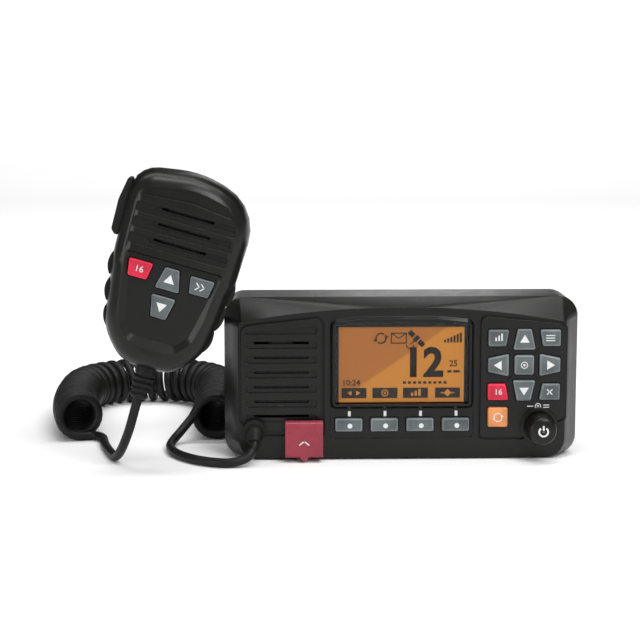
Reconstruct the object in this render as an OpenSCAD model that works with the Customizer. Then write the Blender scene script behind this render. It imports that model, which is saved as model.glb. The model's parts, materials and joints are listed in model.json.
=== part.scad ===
// Fixed-mount VHF marine radio with a fist microphone on a curly cord.
// Millimetres, +Z up, +X to the right, the face looks along -Y.
// The face plane is y = 0, the underside is z = 0, and x = 0 is the middle of the display.

/* [Housing] */
// Overall width of the front housing
body_w = 181.6; // [176:0.2:190]
// Overall height of the front housing
body_h = 82.6; // [82:0.2:88]
// Depth of the front housing from the face to its rear rim
housing_depth = 40; // [36:0.5:46]
// Depth over which the edges of the face slope back to full size
slope_depth = 11; // [8:0.5:14]
// Width that the slope takes off each side of the face
slope_side = 7.6; // [6:0.2:8]
// Height that the slope takes off the bottom of the face
slope_bottom = 0.8; // [0.4:0.2:1.6]
// Height of the brow line above the middle of the display
brow_mid = 78.5; // [78:0.1:80]
// Height of the brow line at the ends of the face
brow_end = 71.6; // [71:0.1:73]
// Corner radius of the front housing
corner_r = 10; // [8:0.5:13]
// Thickness of the wall behind the face
front_wall = 3; // [2.4:0.2:3.6]
// Thickness of the housing sides
side_wall = 4; // [3:0.2:5]

/* [Speaker panel] */
// Width of the speaker panel
speaker_panel_w = 41; // [40:0.5:42]
// Distance from the side of the housing to the outer edge of each panel
panel_margin = 8.6; // [8:0.2:10]
// Height of the outer top corner of the side panels
panel_top_outer = 69; // [67:0.5:70]
// Height of the inner top corner of the side panels
panel_top_inner = 73.4; // [72:0.2:74]
// Width of the groove round each panel
groove_w = 1.3; // [0.8:0.1:1.6]
// Depth of the groove round each panel
groove_depth = 1.5; // [1:0.1:2]
// Number of sound slots below the slanted one
slot_count = 6; // [4:1:6]
// Height of one sound slot
slot_h = 3.8; // [3:0.1:4.4]
// Step from one sound slot to the next
slot_pitch = 7.57; // [7.2:0.01:7.6]
// Depth of the dished sound slots
slot_depth = 1.2; // [0.8:0.1:1.6]
// Radius of the loudspeaker frame
speaker_r = 19; // [17:0.5:19.5]
// Depth of the loudspeaker basket
speaker_depth = 12; // [10:0.5:14]

/* [Display] */
// Width of the bright area of the display
lcd_w = 64; // [60:0.5:65]
// Height of the bright area of the display
lcd_h = 38.6; // [36:0.2:39]
// Height of the lower edge of the bright area
lcd_z = 29.5; // [29:0.1:30]
// Width of the trim frame
frame_w = 73.4; // [72:0.2:74]
// Height of the top corners of the trim frame
frame_top = 72.3; // [72:0.1:73]
// Rise of the arched top of the trim frame
frame_arch = 2.3; // [1:0.1:3]
// How far the trim frame stands out from the face
frame_proud = 1.8; // [1.2:0.1:2.4]
// Thickness of the display window
window_t = 1.5; // [1:0.1:2]

/* [Keys] */
// Distance between neighbouring keys of the arrow cross
key_pitch = 13.15; // [13:0.05:13.4]
// Height of the middle row of keys
key_row_z = 48.8; // [48:0.1:49.5]
// How far the keys stand out from the face
key_proud = 1.9; // [1.4:0.1:2.4]
// Travel of a pressed key
key_travel = 0.8; // [0.5:0.1:1]
// Gap between a key and its hole
key_gap = 0.3; // [0.2:0.05:0.4]
// Width of a soft key
soft_key_w = 14; // [12:0.5:15]
// Height of a soft key
soft_key_h = 6.8; // [6:0.2:7.4]
// Distance between neighbouring soft keys
soft_key_pitch = 18.2; // [17.5:0.1:18.6]
// Height of the middle of the soft keys
soft_key_z = 18.2; // [17:0.1:18.6]

/* [Volume knob] */
// Diameter of the volume knob
knob_d = 14.4; // [13:0.1:15]
// How far the knob stands out from the face
knob_proud = 16; // [12:0.5:18]
// Distance of the knob's axis from the middle of the display
knob_x = 70; // [69:0.5:71]
// Height of the knob's axis
knob_z = 17; // [16:0.5:18]
// Diameter of the encoder shaft
shaft_d = 6; // [5:0.1:6.4]
// Radial running fit of the shaft and of the rotor
running_fit = 0.06; // [0.03:0.01:0.1]

/* [Distress cover] */
// Width of the hinged distress cover
cover_w = 19.2; // [18:0.2:20]
// Distance of the cover's middle from the middle of the display
cover_x = -50.3; // [-51:0.1:-49.8]
// Height of the hinge pin
cover_hinge_z = 17.8; // [17.4:0.1:18.2]
// Radius of the rounded top of the cover, about the hinge pin
cover_barrel_r = 3.4; // [3.2:0.1:3.8]
// Height of the lower edge of the cover
cover_bottom = 2.6; // [2:0.1:3.2]
// Wall thickness of the cover
cover_wall = 1.5; // [1.2:0.1:1.8]
// Diameter of the hinge pin
hinge_pin_d = 2; // [1.6:0.1:2.2]
// Diameter of the distress button
distress_button_d = 8.6; // [7:0.2:9]

/* [Chassis] */
// Overall depth of the radio without its rear sockets
total_depth = 150; // [130:1:160]
// Width of the die-cast chassis
chassis_w = 160; // [150:1:162]
// Height of the die-cast chassis
chassis_h = 67; // [64:0.5:70]
// Wall thickness of the chassis
chassis_wall = 4; // [3:0.5:5]
// Depth of the cooling grooves
fin_depth = 3; // [2:0.5:3.5]
// Distance between neighbouring cooling fins
fin_pitch = 8; // [7:0.5:10]
// Thickness of the flange that closes the front housing
flange_t = 3; // [2.5:0.5:4]
// Radius of the bracket thread in the side inserts (M5)
bracket_thread_r = 2.1; // [2:0.05:2.5]
// Distance of the bracket inserts behind the face
bracket_y = 95; // [85:1:105]
// Height of the bracket inserts
bracket_z = 37; // [34:0.5:40]

/* [Microphone] */
// Distance of the microphone's middle from the middle of the display
mic_x = -114.3; // [-116:0.1:-113]
// Height of the microphone's middle
mic_z = 99.9; // [99:0.1:104]
// Distance of the microphone's back in front of the face
mic_back_y = -2; // [-3:0.1:-1.6]
// Lean of the microphone to the right, in degrees
mic_tilt = 16.3; // [15:0.1:18]
// Half width of the microphone
mic_half_w = 31.9; // [31:0.1:33]
// Thickness of the microphone
mic_depth = 35; // [33:0.5:37]
// Wall thickness of the microphone shells
mic_wall = 4.5; // [4:0.1:5]
// Depth of the keypad recess of the microphone
mic_recess = 2; // [1.4:0.1:2.4]
// Angle that the talk lever turns when pressed, in degrees
talk_angle = 4; // [3:0.5:5]
// Width of the neck of the hang-up button
hang_neck_w = 6; // [5:0.2:7]
// Thickness of the hanger plate
hanger_t = 2.5; // [2:0.1:2.6]

/* [Cord] */
// Diameter of the cord
cord_d = 4.7; // [4.4:0.1:4.8]
// Outer diameter of the curls
curl_d = 26; // [25:0.5:26.5]
// Step from one curl to the next along the straight legs
curl_step = 5.4; // [5.3:0.1:6]
// Step from one curl to the next along the middle of the bend
curl_step_bend = 7.2; // [7.1:0.1:8]
// Radius of the bend in the curly cord
coil_bend_r = 40; // [40:1:44]

/* [Hidden] */

// Finishes
plastic_black = "#2b2b2a";
panel_black = "#1f1f1e";
rubber_black = "#161616";
key_grey = "#6a7072";
key_red = "#b3243c";
key_orange = "#d98b4a";
cover_red = "#8a3640";
steel = "#9a9c9e";
cast_grey = "#2e2f30";
board_green = "#2d5a3c";

// Small clearances
gap = 0.3;
slack = 0.5;
skin = 0.01;
hole_fn = 32;
round_fn = 64;

// Face
half_w = body_w / 2;
face_half_w = half_w - slope_side;
brow_chord = face_half_w - 3;
brow_sag = brow_mid - brow_end;
brow_r = (brow_chord * brow_chord + brow_sag * brow_sag) / (2 * brow_sag);
inner_half_w = half_w - side_wall - corner_r / 2;
cavity_low_z = slope_bottom + 2.8;
cavity_top_z = brow_end + 0.4;
rear_cavity_y = slope_depth + 1;

// Speaker panel
speaker_left = -half_w + panel_margin;
speaker_right = speaker_left + speaker_panel_w;
speaker_mid = (speaker_left + speaker_right) / 2;
speaker_z = 42;
slot_inset = 2.4;
slot_low_z = 19.6;
panel_bottom = 15.2;

// Key panel
keys_right = half_w - panel_margin + 0.6;
keys_left = 39.8;
keys_mid = 61.8;
corner_key_rise = 13.9;
call_key_drop = 27;
keys_bottom = 11.2;
collar_r = 9.6;
collar_proud = 1.4;
knob_pocket_y = -0.4;
knob_push = 0.8;

// Display
frame_low = 26.4;
frame_mid = -0.4;
frame_wall = 2.6;
window_seat = 2;
tray_low = 11;
tray_depth = 0.6;
lcd_mid = -0.6;
lcd_plate_inset = 1.9;

// Stack behind the face
key_flange_y = front_wall + 0.3;
key_flange_t = 1;
sheet_y = key_flange_y + key_flange_t + key_travel + gap;
sheet_t = 1.2;
board_y = sheet_y + sheet_t + slack;
board_t = 1.6;
board_low = 7;
board_high = cavity_top_z - 1;
board_left = speaker_right + 1.4;
board_right = inner_half_w - 1;

// Boards in the chassis
board_z = 13.4;
board_post_r = 3.4;
board_hole_r = 1.6;
shield_left = -10;
shield_w = 60;
shield_h = 14;
shield_t = 0.6;
ribbon_x = 10;
ribbon_w = 22;
ribbon_z = 30;
ribbon_t = 0.4;

// Hinge of the distress cover
hinge_y = -cover_barrel_r - 0.4;
hinge_fit = 0.06;
boss_half_w = 3.6;
boss_r = 2.3;
button_flange = 0.8;
button_z = cavity_low_z + distress_button_d / 2 + button_flange + 0.2;
button_travel = 1;
button_proud = 2.6;

// Chassis
gasket_t = 1.2;
flange_y = housing_depth + gasket_t;
chassis_y = flange_y + flange_t;
chassis_half_w = chassis_w / 2;
flange_inset = 2;
flange_top = body_h - 0.8;
board_post_x = chassis_half_w - 24;
board_post_y = [chassis_y + 12, total_depth - 16];
screw_hole_r = 1.7;
screw_core_r = 1.3;
screw_head_r = 2.8;
boss_len = 16;
top_screw_x = 60;
side_screw_z = 34;
bezel_screw_at = [
    for (side = [-1, 1]) each [
        [side * top_screw_x, (chassis_h + flange_top) / 2],
        [side * (chassis_half_w + half_w - flange_inset) / 2, side_screw_z]
    ]
];

// Rear sockets
socket_x = 45;
socket_z = 42;

// Volume knob
rotor_r = shaft_d / 2 + 1.2;

// Gland of the microphone cord
gland_x = -75.5;
gland_z = 15.6;
gland_r = 5.8;
gland_proud = 3.4;
gland_thread_r = 5;
gland_lean = 45;
gland_ball_r = 4.5;
gland_len = 5.4;
gland_outlet = [gland_x, -gland_proud, gland_z - 1.2];

// Microphone, in its own upright frame with z = 0 at its middle
mic_front_y = mic_back_y - mic_depth;
mic_split_y = mic_back_y - mic_depth / 2;
mic_floor_y = mic_front_y + mic_recess;
mic_cavity_front = mic_front_y + 5.6;
mic_cavity_back = mic_back_y - 3;
mic_screw_u = 16;
mic_screw_v = [-24, 34];
mic_screw_at = [for (u = [-mic_screw_u, mic_screw_u], v = mic_screw_v) [u, v]];
mic_screw_r = 1.4;
mic_screw_len = 6;
mic_screw_head_r = 2.7;
mic_screw_sink = 3;
mic_boss_r = 3.4;
capsule_r = 13;
capsule_magnet_r = 8;
capsule_t = 2.4;
capsule_v = 21;
mic_board_gap = 4.4;
boot_top = -48;
boot_len = 18;
boot_r_top = 5.2;
boot_r_end = 4.1;
talk_low = 10;
talk_high = 39;
talk_half_d = 6.5;
talk_out = mic_half_w + 3;
talk_in = talk_out - 4.2;
talk_stop = -talk_in + 2.6;
button_v = 8;
hang_head_r = 7;
hang_gap = 0.3;
plate_y = mic_back_y + 1.2;

// Corners of the microphone's outline, [u, v, radius], anticlockwise
mic_pts = [
    [13.5, -49.6, 17], [25.6, -35.5, 24], [mic_half_w - 1, 2, 60], [mic_half_w, 41.6, 24],
    [0, 50.2, 50], [-mic_half_w, 44.6, 14], [1 - mic_half_w, 2, 60], [-25.6, -35.5, 24], [-13.5, -49.6, 17]
];

// Corners of the keypad recess at the surface and at its floor, and of the board
recess_pts = [
    [-14, -38.5, 5], [14, -38.5, 5], [19.5, -32, 5], [25.5, 6, 2], [-25.5, 6, 2], [-19.5, -32, 5]
];
recess_floor_pts = [
    [-10.5, -33.5, 4], [10.5, -33.5, 4], [15.6, -28.5, 4], [22.7, 5, 1.5], [-22.7, 5, 1.5], [-15.6, -28.5, 4]
];
mic_board_pts = [[-9, -34, 3], [9, -34, 3], [20, -14, 4], [20, 36, 4], [-20, 36, 4], [-20, -14, 4]];

// Rubber grips, three a side: height, distance inside the widest part, lean
grip_v = [-4, -17, -30];
grip_in = [1.3, 3.1, 6];
grip_slant = [6, 10, 20];
grip_pad = [6, 14, 10.8];
grip_sunk = 1.8;
grip_hump_r = 11;

// Hanger arm
arm_x = -102.5;
arm_y = chassis_y + 2;
tab_high = chassis_h - 3;
tab_low = tab_high - 13;
arm_low = tab_high + 2.5;
arm_high = arm_low + 6;
tab_len = 26;
hanger_screw_r = 2;
hanger_screw_y = [arm_y + 8, arm_y + 19];

// Cord
cord_r = cord_d / 2;
curl_r = (curl_d - cord_d) / 2;
coil_z = curl_d / 2;
coil_right_x = -97;
coil_left_x = coil_right_x - 2 * coil_bend_r;
coil_bend_y = 122;
coil_splay_y = 110;
coil_start = [coil_left_x + 7, 50];
coil_end_y = 46;
curl_rings = 8;
curl_sides = 6;
lead_sides = 8;

// ---------- outlines and simple solids ----------

function unit(v) = v / norm(v);
function turn(a, b) = let (d = b - a) d > 180 ? d - 360 : d < -180 ? d + 360 : d;

// Points of one rounded corner; p, q, s are [x, z, radius] and q is the corner
function corner(p, q, s, n) =
    let (
        here = [q[0], q[1]],
        a = unit([p[0], p[1]] - here),
        b = unit([s[0], s[1]] - here),
        half = acos(a * b) / 2,
        reach = q[2] / tan(half),
        middle = here + unit(a + b) * (q[2] / sin(half)),
        from = here + a * reach - middle,
        to = here + b * reach - middle,
        start = atan2(from[1], from[0]),
        sweep_angle = turn(start, atan2(to[1], to[0]))
    )
    [for (i = [0:n]) middle + q[2] * [cos(start + sweep_angle * i / n), sin(start + sweep_angle * i / n)]];

// Outline through [x, z, radius] corners
function rounded(pts, n = 4) =
    let (m = len(pts))
    [for (i = [0:m - 1]) each corner(pts[(i + m - 1) % m], pts[i], pts[(i + 1) % m], n)];

function rect(x0, x1, z0, z1, r) = [[x0, z0, r], [x1, z0, r], [x1, z1, r], [x0, z1, r]];

// The same outline about its middle, drawn in by d on every side (out where d is negative)
function drawn_in(pts, d, mid = [0, 0]) =
    [for (p = pts) [p[0] - sign(p[0] - mid[0]) * d, p[1] - sign(p[1] - mid[1]) * d, max(p[2] - d, 0.3)]];

// A slab whose outline is drawn in x and z, from y to y + t
module slab(y, t) {
    translate([0, y + t, 0])
    rotate([90, 0, 0])
    linear_extrude(t)
    children();
}

// A cylinder along y, from y to y + t
module rod(x, y, z, r, t, fn = round_fn) {
    translate([x, y + t, z])
    rotate([90, 0, 0])
    cylinder(r = r, h = t, $fn = fn);
}

// A cylinder along x, from x to x + t
module bar(x, y, z, r, t, fn = hole_fn) {
    translate([x, y, z])
    rotate([0, 90, 0])
    cylinder(r = r, h = t, $fn = fn);
}

module box(low, high) {
    translate(low)
    cube(high - low);
}

// ---------- front housing ----------

module brow_outline() {
    intersection() {
        polygon(rounded(rect(-face_half_w, face_half_w, slope_bottom, body_h, corner_r - 1), 5));
        translate([0, brow_mid - brow_r])
        circle(r = brow_r, $fn = 360);
    }
}

module body_outline() {
    polygon(rounded(rect(-half_w, half_w, 0, body_h, corner_r), 8));
}

module housing_form() {
    hull() {
        slab(0, skin) brow_outline();
        slab(slope_depth, skin) body_outline();
    }
    slab(slope_depth, housing_depth - slope_depth) body_outline();
}

function panel_pts(grow) = [
    [speaker_left - grow, panel_bottom + 7 - grow, 0.6],
    [speaker_left + 7 - grow, panel_bottom - 2.2 * grow, 0.6],
    [speaker_right + grow, panel_bottom - 2.2 * grow, 1],
    [speaker_right + grow, panel_top_inner + grow, 3 + grow],
    [speaker_left - grow, panel_top_outer + grow, 4 + grow]
];

function keys_pts(grow) = [
    [keys_left - grow, keys_bottom - grow, 2 + grow],
    [knob_x - collar_r + 1, keys_bottom - grow, 1],
    [keys_right + grow, knob_z + 4, 1],
    [keys_right + grow, panel_top_outer + 0.6 + grow, 4 + grow],
    [keys_left - grow, panel_top_inner + 0.4 + grow, 3 + grow]
];

// A moat round an outline
module moat(outer, inner) {
    slab(-skin, groove_depth + skin)
    difference() {
        polygon(rounded(outer));
        polygon(rounded(inner));
    }
}

function slot_top(x) =
    panel_top_outer - 4 + (panel_top_inner - panel_top_outer) * (x - speaker_left) / speaker_panel_w;

function slot_pts(i) =
    let (low = slot_low_z + i * slot_pitch)
    rect(speaker_left + slot_inset, speaker_right - slot_inset, low, low + slot_h, 1.4);

function slant_slot_pts() =
    let (low = slot_low_z + slot_count * slot_pitch, right = speaker_right - slot_inset)
    [[speaker_left + slot_inset, low - 0.2, 0.3], [right, low - 0.2, 1.4],
     [right, slot_top(right), 1.4], [speaker_left + slot_inset, low + 1.2, 0.3]];

// The dished slots and, along the upper edge of each, a narrow opening for the sound
module sound_slots() {
    for (i = [0:slot_count - 1]) {
        slab(-skin, slot_depth + skin) polygon(rounded(slot_pts(i)));
        slab(-skin, front_wall + 2 * skin)
        polygon(rounded(rect(speaker_mid - 14, speaker_mid + 14,
                             slot_low_z + i * slot_pitch + slot_h - 1.5,
                             slot_low_z + i * slot_pitch + slot_h - 0.3, 0.5)));
    }
    slab(-skin, slot_depth + skin) polygon(rounded(slant_slot_pts()));
}

module through(pts) {
    slab(-frame_proud - collar_proud, front_wall + frame_proud + collar_proud + skin)
    polygon(rounded(pts));
}

module screw_bosses() {
    boss = 3.6;
    for (p = bezel_screw_at)
        rod(p[0], housing_depth - boss_len, p[1], boss, boss_len, hole_fn);
    for (side = [-1, 1]) {
        box([side * top_screw_x - boss, housing_depth - boss_len, bezel_screw_at[0][1]],
            [side * top_screw_x + boss, housing_depth, body_h - 1]);
        translate([side * (half_w - side_wall), housing_depth - boss_len / 2, side_screw_z])
        cube([4, boss_len, 2 * boss], center = true);
    }
}

module screw_cores(r, y, t) {
    for (p = bezel_screw_at)
        rod(p[0], y, p[1], r, t, hole_fn);
}

module housing_cavity() {
    slab(front_wall, housing_depth)
    polygon(rounded(rect(-inner_half_w, inner_half_w, cavity_low_z, cavity_top_z, 4)));
    slab(rear_cavity_y, housing_depth)
    polygon(rounded(rect(-half_w + side_wall, half_w - side_wall, cavity_low_z - 1, body_h - side_wall,
                         corner_r - 3)));
}

// Strut and eye that hold the hinge pin, hidden behind the cover
module hinge_eye() {
    bar(cover_x - boss_half_w, hinge_y, cover_hinge_z, boss_r, 2 * boss_half_w);
    translate([cover_x - boss_half_w, 0, 0])
    rotate([90, 0, 90])
    linear_extrude(2 * boss_half_w)
    polygon([[hinge_y - 1.4, cover_hinge_z - 1.8], [hinge_y + 1.6, cover_hinge_z - 1.2],
             [1, cover_hinge_z - 2], [1, cover_hinge_z - 4.4], [hinge_y, cover_hinge_z - 3.4]]);
}

module front_bezel() {
    color(plastic_black)
    difference() {
        union() {
            difference() {
                housing_form();
                housing_cavity();
            }
            screw_bosses();
            rod(knob_x, -collar_proud, knob_z, collar_r, collar_proud + front_wall);
            hinge_eye();
        }
        moat(panel_pts(groove_w), panel_pts(0));
        moat(keys_pts(groove_w), keys_pts(0));
        sound_slots();
        slab(-skin, tray_depth + skin)
        polygon(rounded(rect(frame_mid - frame_w / 2, frame_mid + frame_w / 2, tray_low, frame_low + 2,
                             2.5)));
        through(window_pts(window_seat));
        for (k = [-1:1]) {
            through(drawn_in(corner_key_pts(k, 1), -key_gap, key_mid(k, 1)));
            through(drawn_in(corner_key_pts(k, -1), -key_gap, key_mid(k, -1)));
            through(drawn_in(middle_key_pts(k), -key_gap, [keys_mid + k * key_pitch, key_row_z]));
        }
        through(drawn_in(call_key_pts(), -key_gap, [keys_mid - key_pitch, key_row_z - call_key_drop]));
        for (i = [0:3])
            through(drawn_in(soft_key_pts(i), -key_gap, [soft_key_x(i), soft_key_z]));
        rod(knob_x, -collar_proud - 1, knob_z, shaft_d / 2 + 1.6, front_wall + collar_proud + 2, hole_fn);
        rod(knob_x, -collar_proud - 1, knob_z, knob_d / 2 + 0.6, collar_proud + 1 + knob_pocket_y);
        rod(cover_x, -1, button_z, distress_button_d / 2 + key_gap, front_wall + 2, hole_fn);
        bar(cover_x - boss_half_w - 1, hinge_y, cover_hinge_z, hinge_pin_d / 2, 2 * boss_half_w + 2);
        rod(gland_x, -1, gland_z, gland_thread_r, front_wall + 2, hole_fn);
        screw_cores(screw_core_r, housing_depth - 13, 14);
    }
}

// ---------- keys ----------

function key_mid(column, row) = [keys_mid + column * key_pitch, key_row_z + row * corner_key_rise];

// Corner key: its inner side slants where it passes the arrow key; the middle one is an arrow key
function corner_key_pts(column, row) =
    column == 0 ? arrow_pts(0, row) :
    let (m = key_mid(column, row), in = -column, w = 5.3, h = 4.25)
    order([[m[0] - in * w, m[1] - h, 0.8], [m[0] + in * (row > 0 ? w - 1.6 : w), m[1] - h, 0.8],
           [m[0] + in * (row > 0 ? w : w - 1.6), m[1] + h, 0.8], [m[0] - in * w, m[1] + h, 0.8]], in);

function order(pts, way) = way > 0 ? pts : [for (i = [len(pts) - 1:-1:0]) pts[i]];

// Arrow key: a trapezium, wide towards the middle of the cross
function arrow_pts(across, up) =
    let (m = [keys_mid + across * key_pitch, key_row_z + up * key_pitch], base = 5.75, tip = 3.5, long = 5.3)
    across == 0
        ? order([[m[0] - base, m[1] - up * long, 0.7], [m[0] + base, m[1] - up * long, 0.7],
                 [m[0] + tip, m[1] + up * long, 0.7], [m[0] - tip, m[1] + up * long, 0.7]], up)
        : order([[m[0] - across * long, m[1] + base, 0.7], [m[0] - across * long, m[1] - base, 0.7],
                 [m[0] + across * long, m[1] - tip, 0.7], [m[0] + across * long, m[1] + tip, 0.7]], across);

// Middle row: left arrow, enter, right arrow
function middle_key_pts(column) =
    column == 0
        ? rect(keys_mid - 5, keys_mid + 5, key_row_z - 5.1, key_row_z + 5.1, 1.2)
        : arrow_pts(column, 0);

function call_key_pts() =
    let (x = keys_mid - key_pitch, z = key_row_z - call_key_drop)
    rect(x - 5.1, x + 5.1, z - 5.1, z + 5.1, 1);

function soft_key_x(i) = lcd_mid + 0.4 + (i - 1.5) * soft_key_pitch;
function soft_key_pts(i) =
    rect(soft_key_x(i) - soft_key_w / 2, soft_key_x(i) + soft_key_w / 2,
         soft_key_z - soft_key_h / 2, soft_key_z + soft_key_h / 2, 0.8);

// A cap with a bevelled edge, a stem through the face and a flange behind it
module key_cap(pts, mid, tint) {
    color(tint)
    union() {
        hull() {
            slab(-key_proud, skin) polygon(rounded(drawn_in(pts, 0.5, mid), 3));
            slab(-key_proud + 0.6, skin) polygon(rounded(pts, 3));
        }
        slab(-key_proud + 0.6, key_proud - 0.6 + key_flange_y) polygon(rounded(pts, 3));
        slab(key_flange_y, key_flange_t) polygon(rounded(drawn_in(pts, -0.9, mid), 3));
    }
}

module corner_key(column, row, tint = key_grey) {
    key_cap(corner_key_pts(column, row), key_mid(column, row), tint);
}

module middle_key(column) {
    key_cap(middle_key_pts(column), [keys_mid + column * key_pitch, key_row_z], key_grey);
}

module call_key() {
    key_cap(call_key_pts(), [keys_mid - key_pitch, key_row_z - call_key_drop], key_orange);
}

module soft_key(i) {
    key_cap(soft_key_pts(i), [soft_key_x(i), soft_key_z], key_grey);
}

module keypad_sheet() {
    color(rubber_black) {
        slab(sheet_y, sheet_t)
        difference() {
            polygon(rounded(rect(keys_left + 1, board_right - 1, board_low + 2, board_high - 1, 2)));
            translate([knob_x, knob_z]) circle(r = 9, $fn = hole_fn);
        }
        slab(sheet_y, sheet_t)
        polygon(rounded(rect(board_left + 2, keys_left - 1, soft_key_z - 6, soft_key_z + 6, 2)));
    }
}

// ---------- display ----------

function window_pts(d) = [
    [frame_mid - frame_w / 2 + d, frame_low + d, max(3 - d, 0.4)],
    [frame_mid + frame_w / 2 - d, frame_low + d, max(3 - d, 0.4)],
    [frame_mid + frame_w / 2 - d, frame_top - d, max(4 - d, 0.8)],
    [frame_mid + frame_w / 4, frame_top + frame_arch * 0.8 - d, 40],
    [frame_mid - frame_w / 4, frame_top + frame_arch * 0.8 - d, 40],
    [frame_mid - frame_w / 2 + d, frame_top - d, max(4 - d, 0.8)]
];

module lcd_frame() {
    color(plastic_black)
    difference() {
        hull() {
            slab(-skin, skin) polygon(rounded(window_pts(0)));
            slab(-frame_proud, skin) polygon(rounded(window_pts(frame_wall * 0.55)));
        }
        slab(-frame_proud - 1, frame_proud + 2) polygon(rounded(window_pts(frame_wall)));
    }
}

module display_window() {
    color("#20242a", 0.4)
    slab(0.02, window_t)
    polygon(rounded(window_pts(window_seat + 0.15)));
}

module lcd_module() {
    color("#c8832f")
    union() {
        slab(window_t + 0.2, front_wall + 0.2 - window_t)
        polygon(rounded(rect(lcd_mid - lcd_w / 2, lcd_mid + lcd_w / 2, lcd_z, lcd_z + lcd_h, 0.3)));
        slab(front_wall + 0.3, sheet_y + sheet_t - front_wall - 0.3)
        polygon(rounded(rect(frame_mid - frame_w / 2 + lcd_plate_inset,
                             frame_mid + frame_w / 2 - lcd_plate_inset, lcd_z - 3, lcd_z + lcd_h + 2, 1)));
    }
}

// ---------- loudspeaker ----------

module speaker_mesh() {
    color("#101010")
    rod(speaker_mid, front_wall + 0.1, speaker_z, speaker_r, 0.4);
}

module speaker_frame() {
    basket_y = front_wall + 0.8;
    magnet_y = basket_y + speaker_depth;
    color(steel)
    difference() {
        union() {
            rod(speaker_mid, basket_y, speaker_z, speaker_r, 1.2);
            translate([speaker_mid, basket_y + 1, speaker_z])
            rotate([-90, 0, 0])
            cylinder(r1 = speaker_r - 2, r2 = 9.5, h = speaker_depth - 1, $fn = round_fn);
            rod(speaker_mid, magnet_y, speaker_z, 12, 6);
        }
        translate([speaker_mid, basket_y - skin, speaker_z])
        rotate([-90, 0, 0])
        cylinder(r1 = speaker_r - 3, r2 = 7.5, h = speaker_depth - 1, $fn = round_fn);
    }
}

module speaker_cone() {
    basket_y = front_wall + 0.8;
    cone_h = speaker_depth * 0.5;
    color("#3a3a38")
    translate([speaker_mid, basket_y + 0.2, speaker_z])
    rotate([-90, 0, 0])
    rotate_extrude($fn = round_fn)
    polygon([[0, cone_h - 1], [3.4, cone_h], [speaker_r - 4.6, 0.3], [speaker_r - 4, 0.9],
             [3.8, cone_h + 0.9], [0, cone_h + 0.6]]);
}

// ---------- boards ----------

module front_board() {
    color(board_green)
    slab(board_y, board_t)
    difference() {
        polygon(rounded(rect(board_left, board_right, board_low, board_high, 2)));
        translate([knob_x, knob_z]) circle(r = 6.6, $fn = hole_fn);
    }
}

module ribbon_cable() {
    from = board_y + board_t;
    low = board_z + board_t;
    color("#c9c4b4")
    translate([ribbon_x, 0, 0])
    rotate([90, 0, 90])
    linear_extrude(ribbon_w)
    polygon([[from, ribbon_z], [from + 20, ribbon_z - 1], [chassis_y + 8, low + ribbon_t],
             [chassis_y + 16, low + ribbon_t], [chassis_y + 16, low], [chassis_y + 7.8, low],
             [from + 19.7, ribbon_z - 1 - ribbon_t], [from, ribbon_z - ribbon_t]]);
}

module main_board() {
    color(board_green)
    difference() {
        box([-chassis_half_w + chassis_wall + 8, chassis_y + 6, board_z],
            [chassis_half_w - chassis_wall - 8, total_depth - chassis_wall - 4, board_z + board_t]);
        for (x = [-board_post_x, board_post_x], y = board_post_y)
            translate([x, y, board_z - 1])
            cylinder(r = board_hole_r, h = board_t + 2, $fn = hole_fn);
    }
}

module shield_can() {
    color(steel)
    difference() {
        box([shield_left, chassis_y + 36, board_z + board_t],
            [shield_left + shield_w, total_depth - 30, board_z + board_t + shield_h]);
        box([shield_left + shield_t, chassis_y + 36 + shield_t, board_z],
            [shield_left + shield_w - shield_t, total_depth - 30 - shield_t,
             board_z + board_t + shield_h - shield_t]);
    }
}

// ---------- chassis ----------

function gasket_pts(inset) =
    rect(-half_w + inset, half_w - inset, inset - flange_inset + 0.4, body_h - inset, corner_r - inset + 1);

module front_gasket() {
    color(rubber_black)
    slab(housing_depth, gasket_t)
    difference() {
        polygon(rounded(gasket_pts(flange_inset + 0.2)));
        polygon(rounded(gasket_pts(flange_inset + 2.2)));
        for (p = bezel_screw_at)
            translate(p) circle(r = screw_hole_r, $fn = hole_fn);
    }
}

module cooling_grooves() {
    count = floor((chassis_half_w - 6) / fin_pitch);
    for (i = [-count:count])
        box([i * fin_pitch - 2, chassis_y + 6, chassis_h - fin_depth],
            [i * fin_pitch + 2, total_depth + 1, chassis_h + 1]);
    for (side = [-1, 1], i = [0:5])
        if (abs(13 + i * 9 - bracket_z) > 9 && (side > 0 || i < 5))
            translate([side * (chassis_half_w - fin_depth / 2 + 0.5), (chassis_y + total_depth) / 2 + 17,
                       13 + i * 9])
            cube([fin_depth + 1, total_depth - chassis_y - 42, 3.6], center = true);
}

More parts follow.
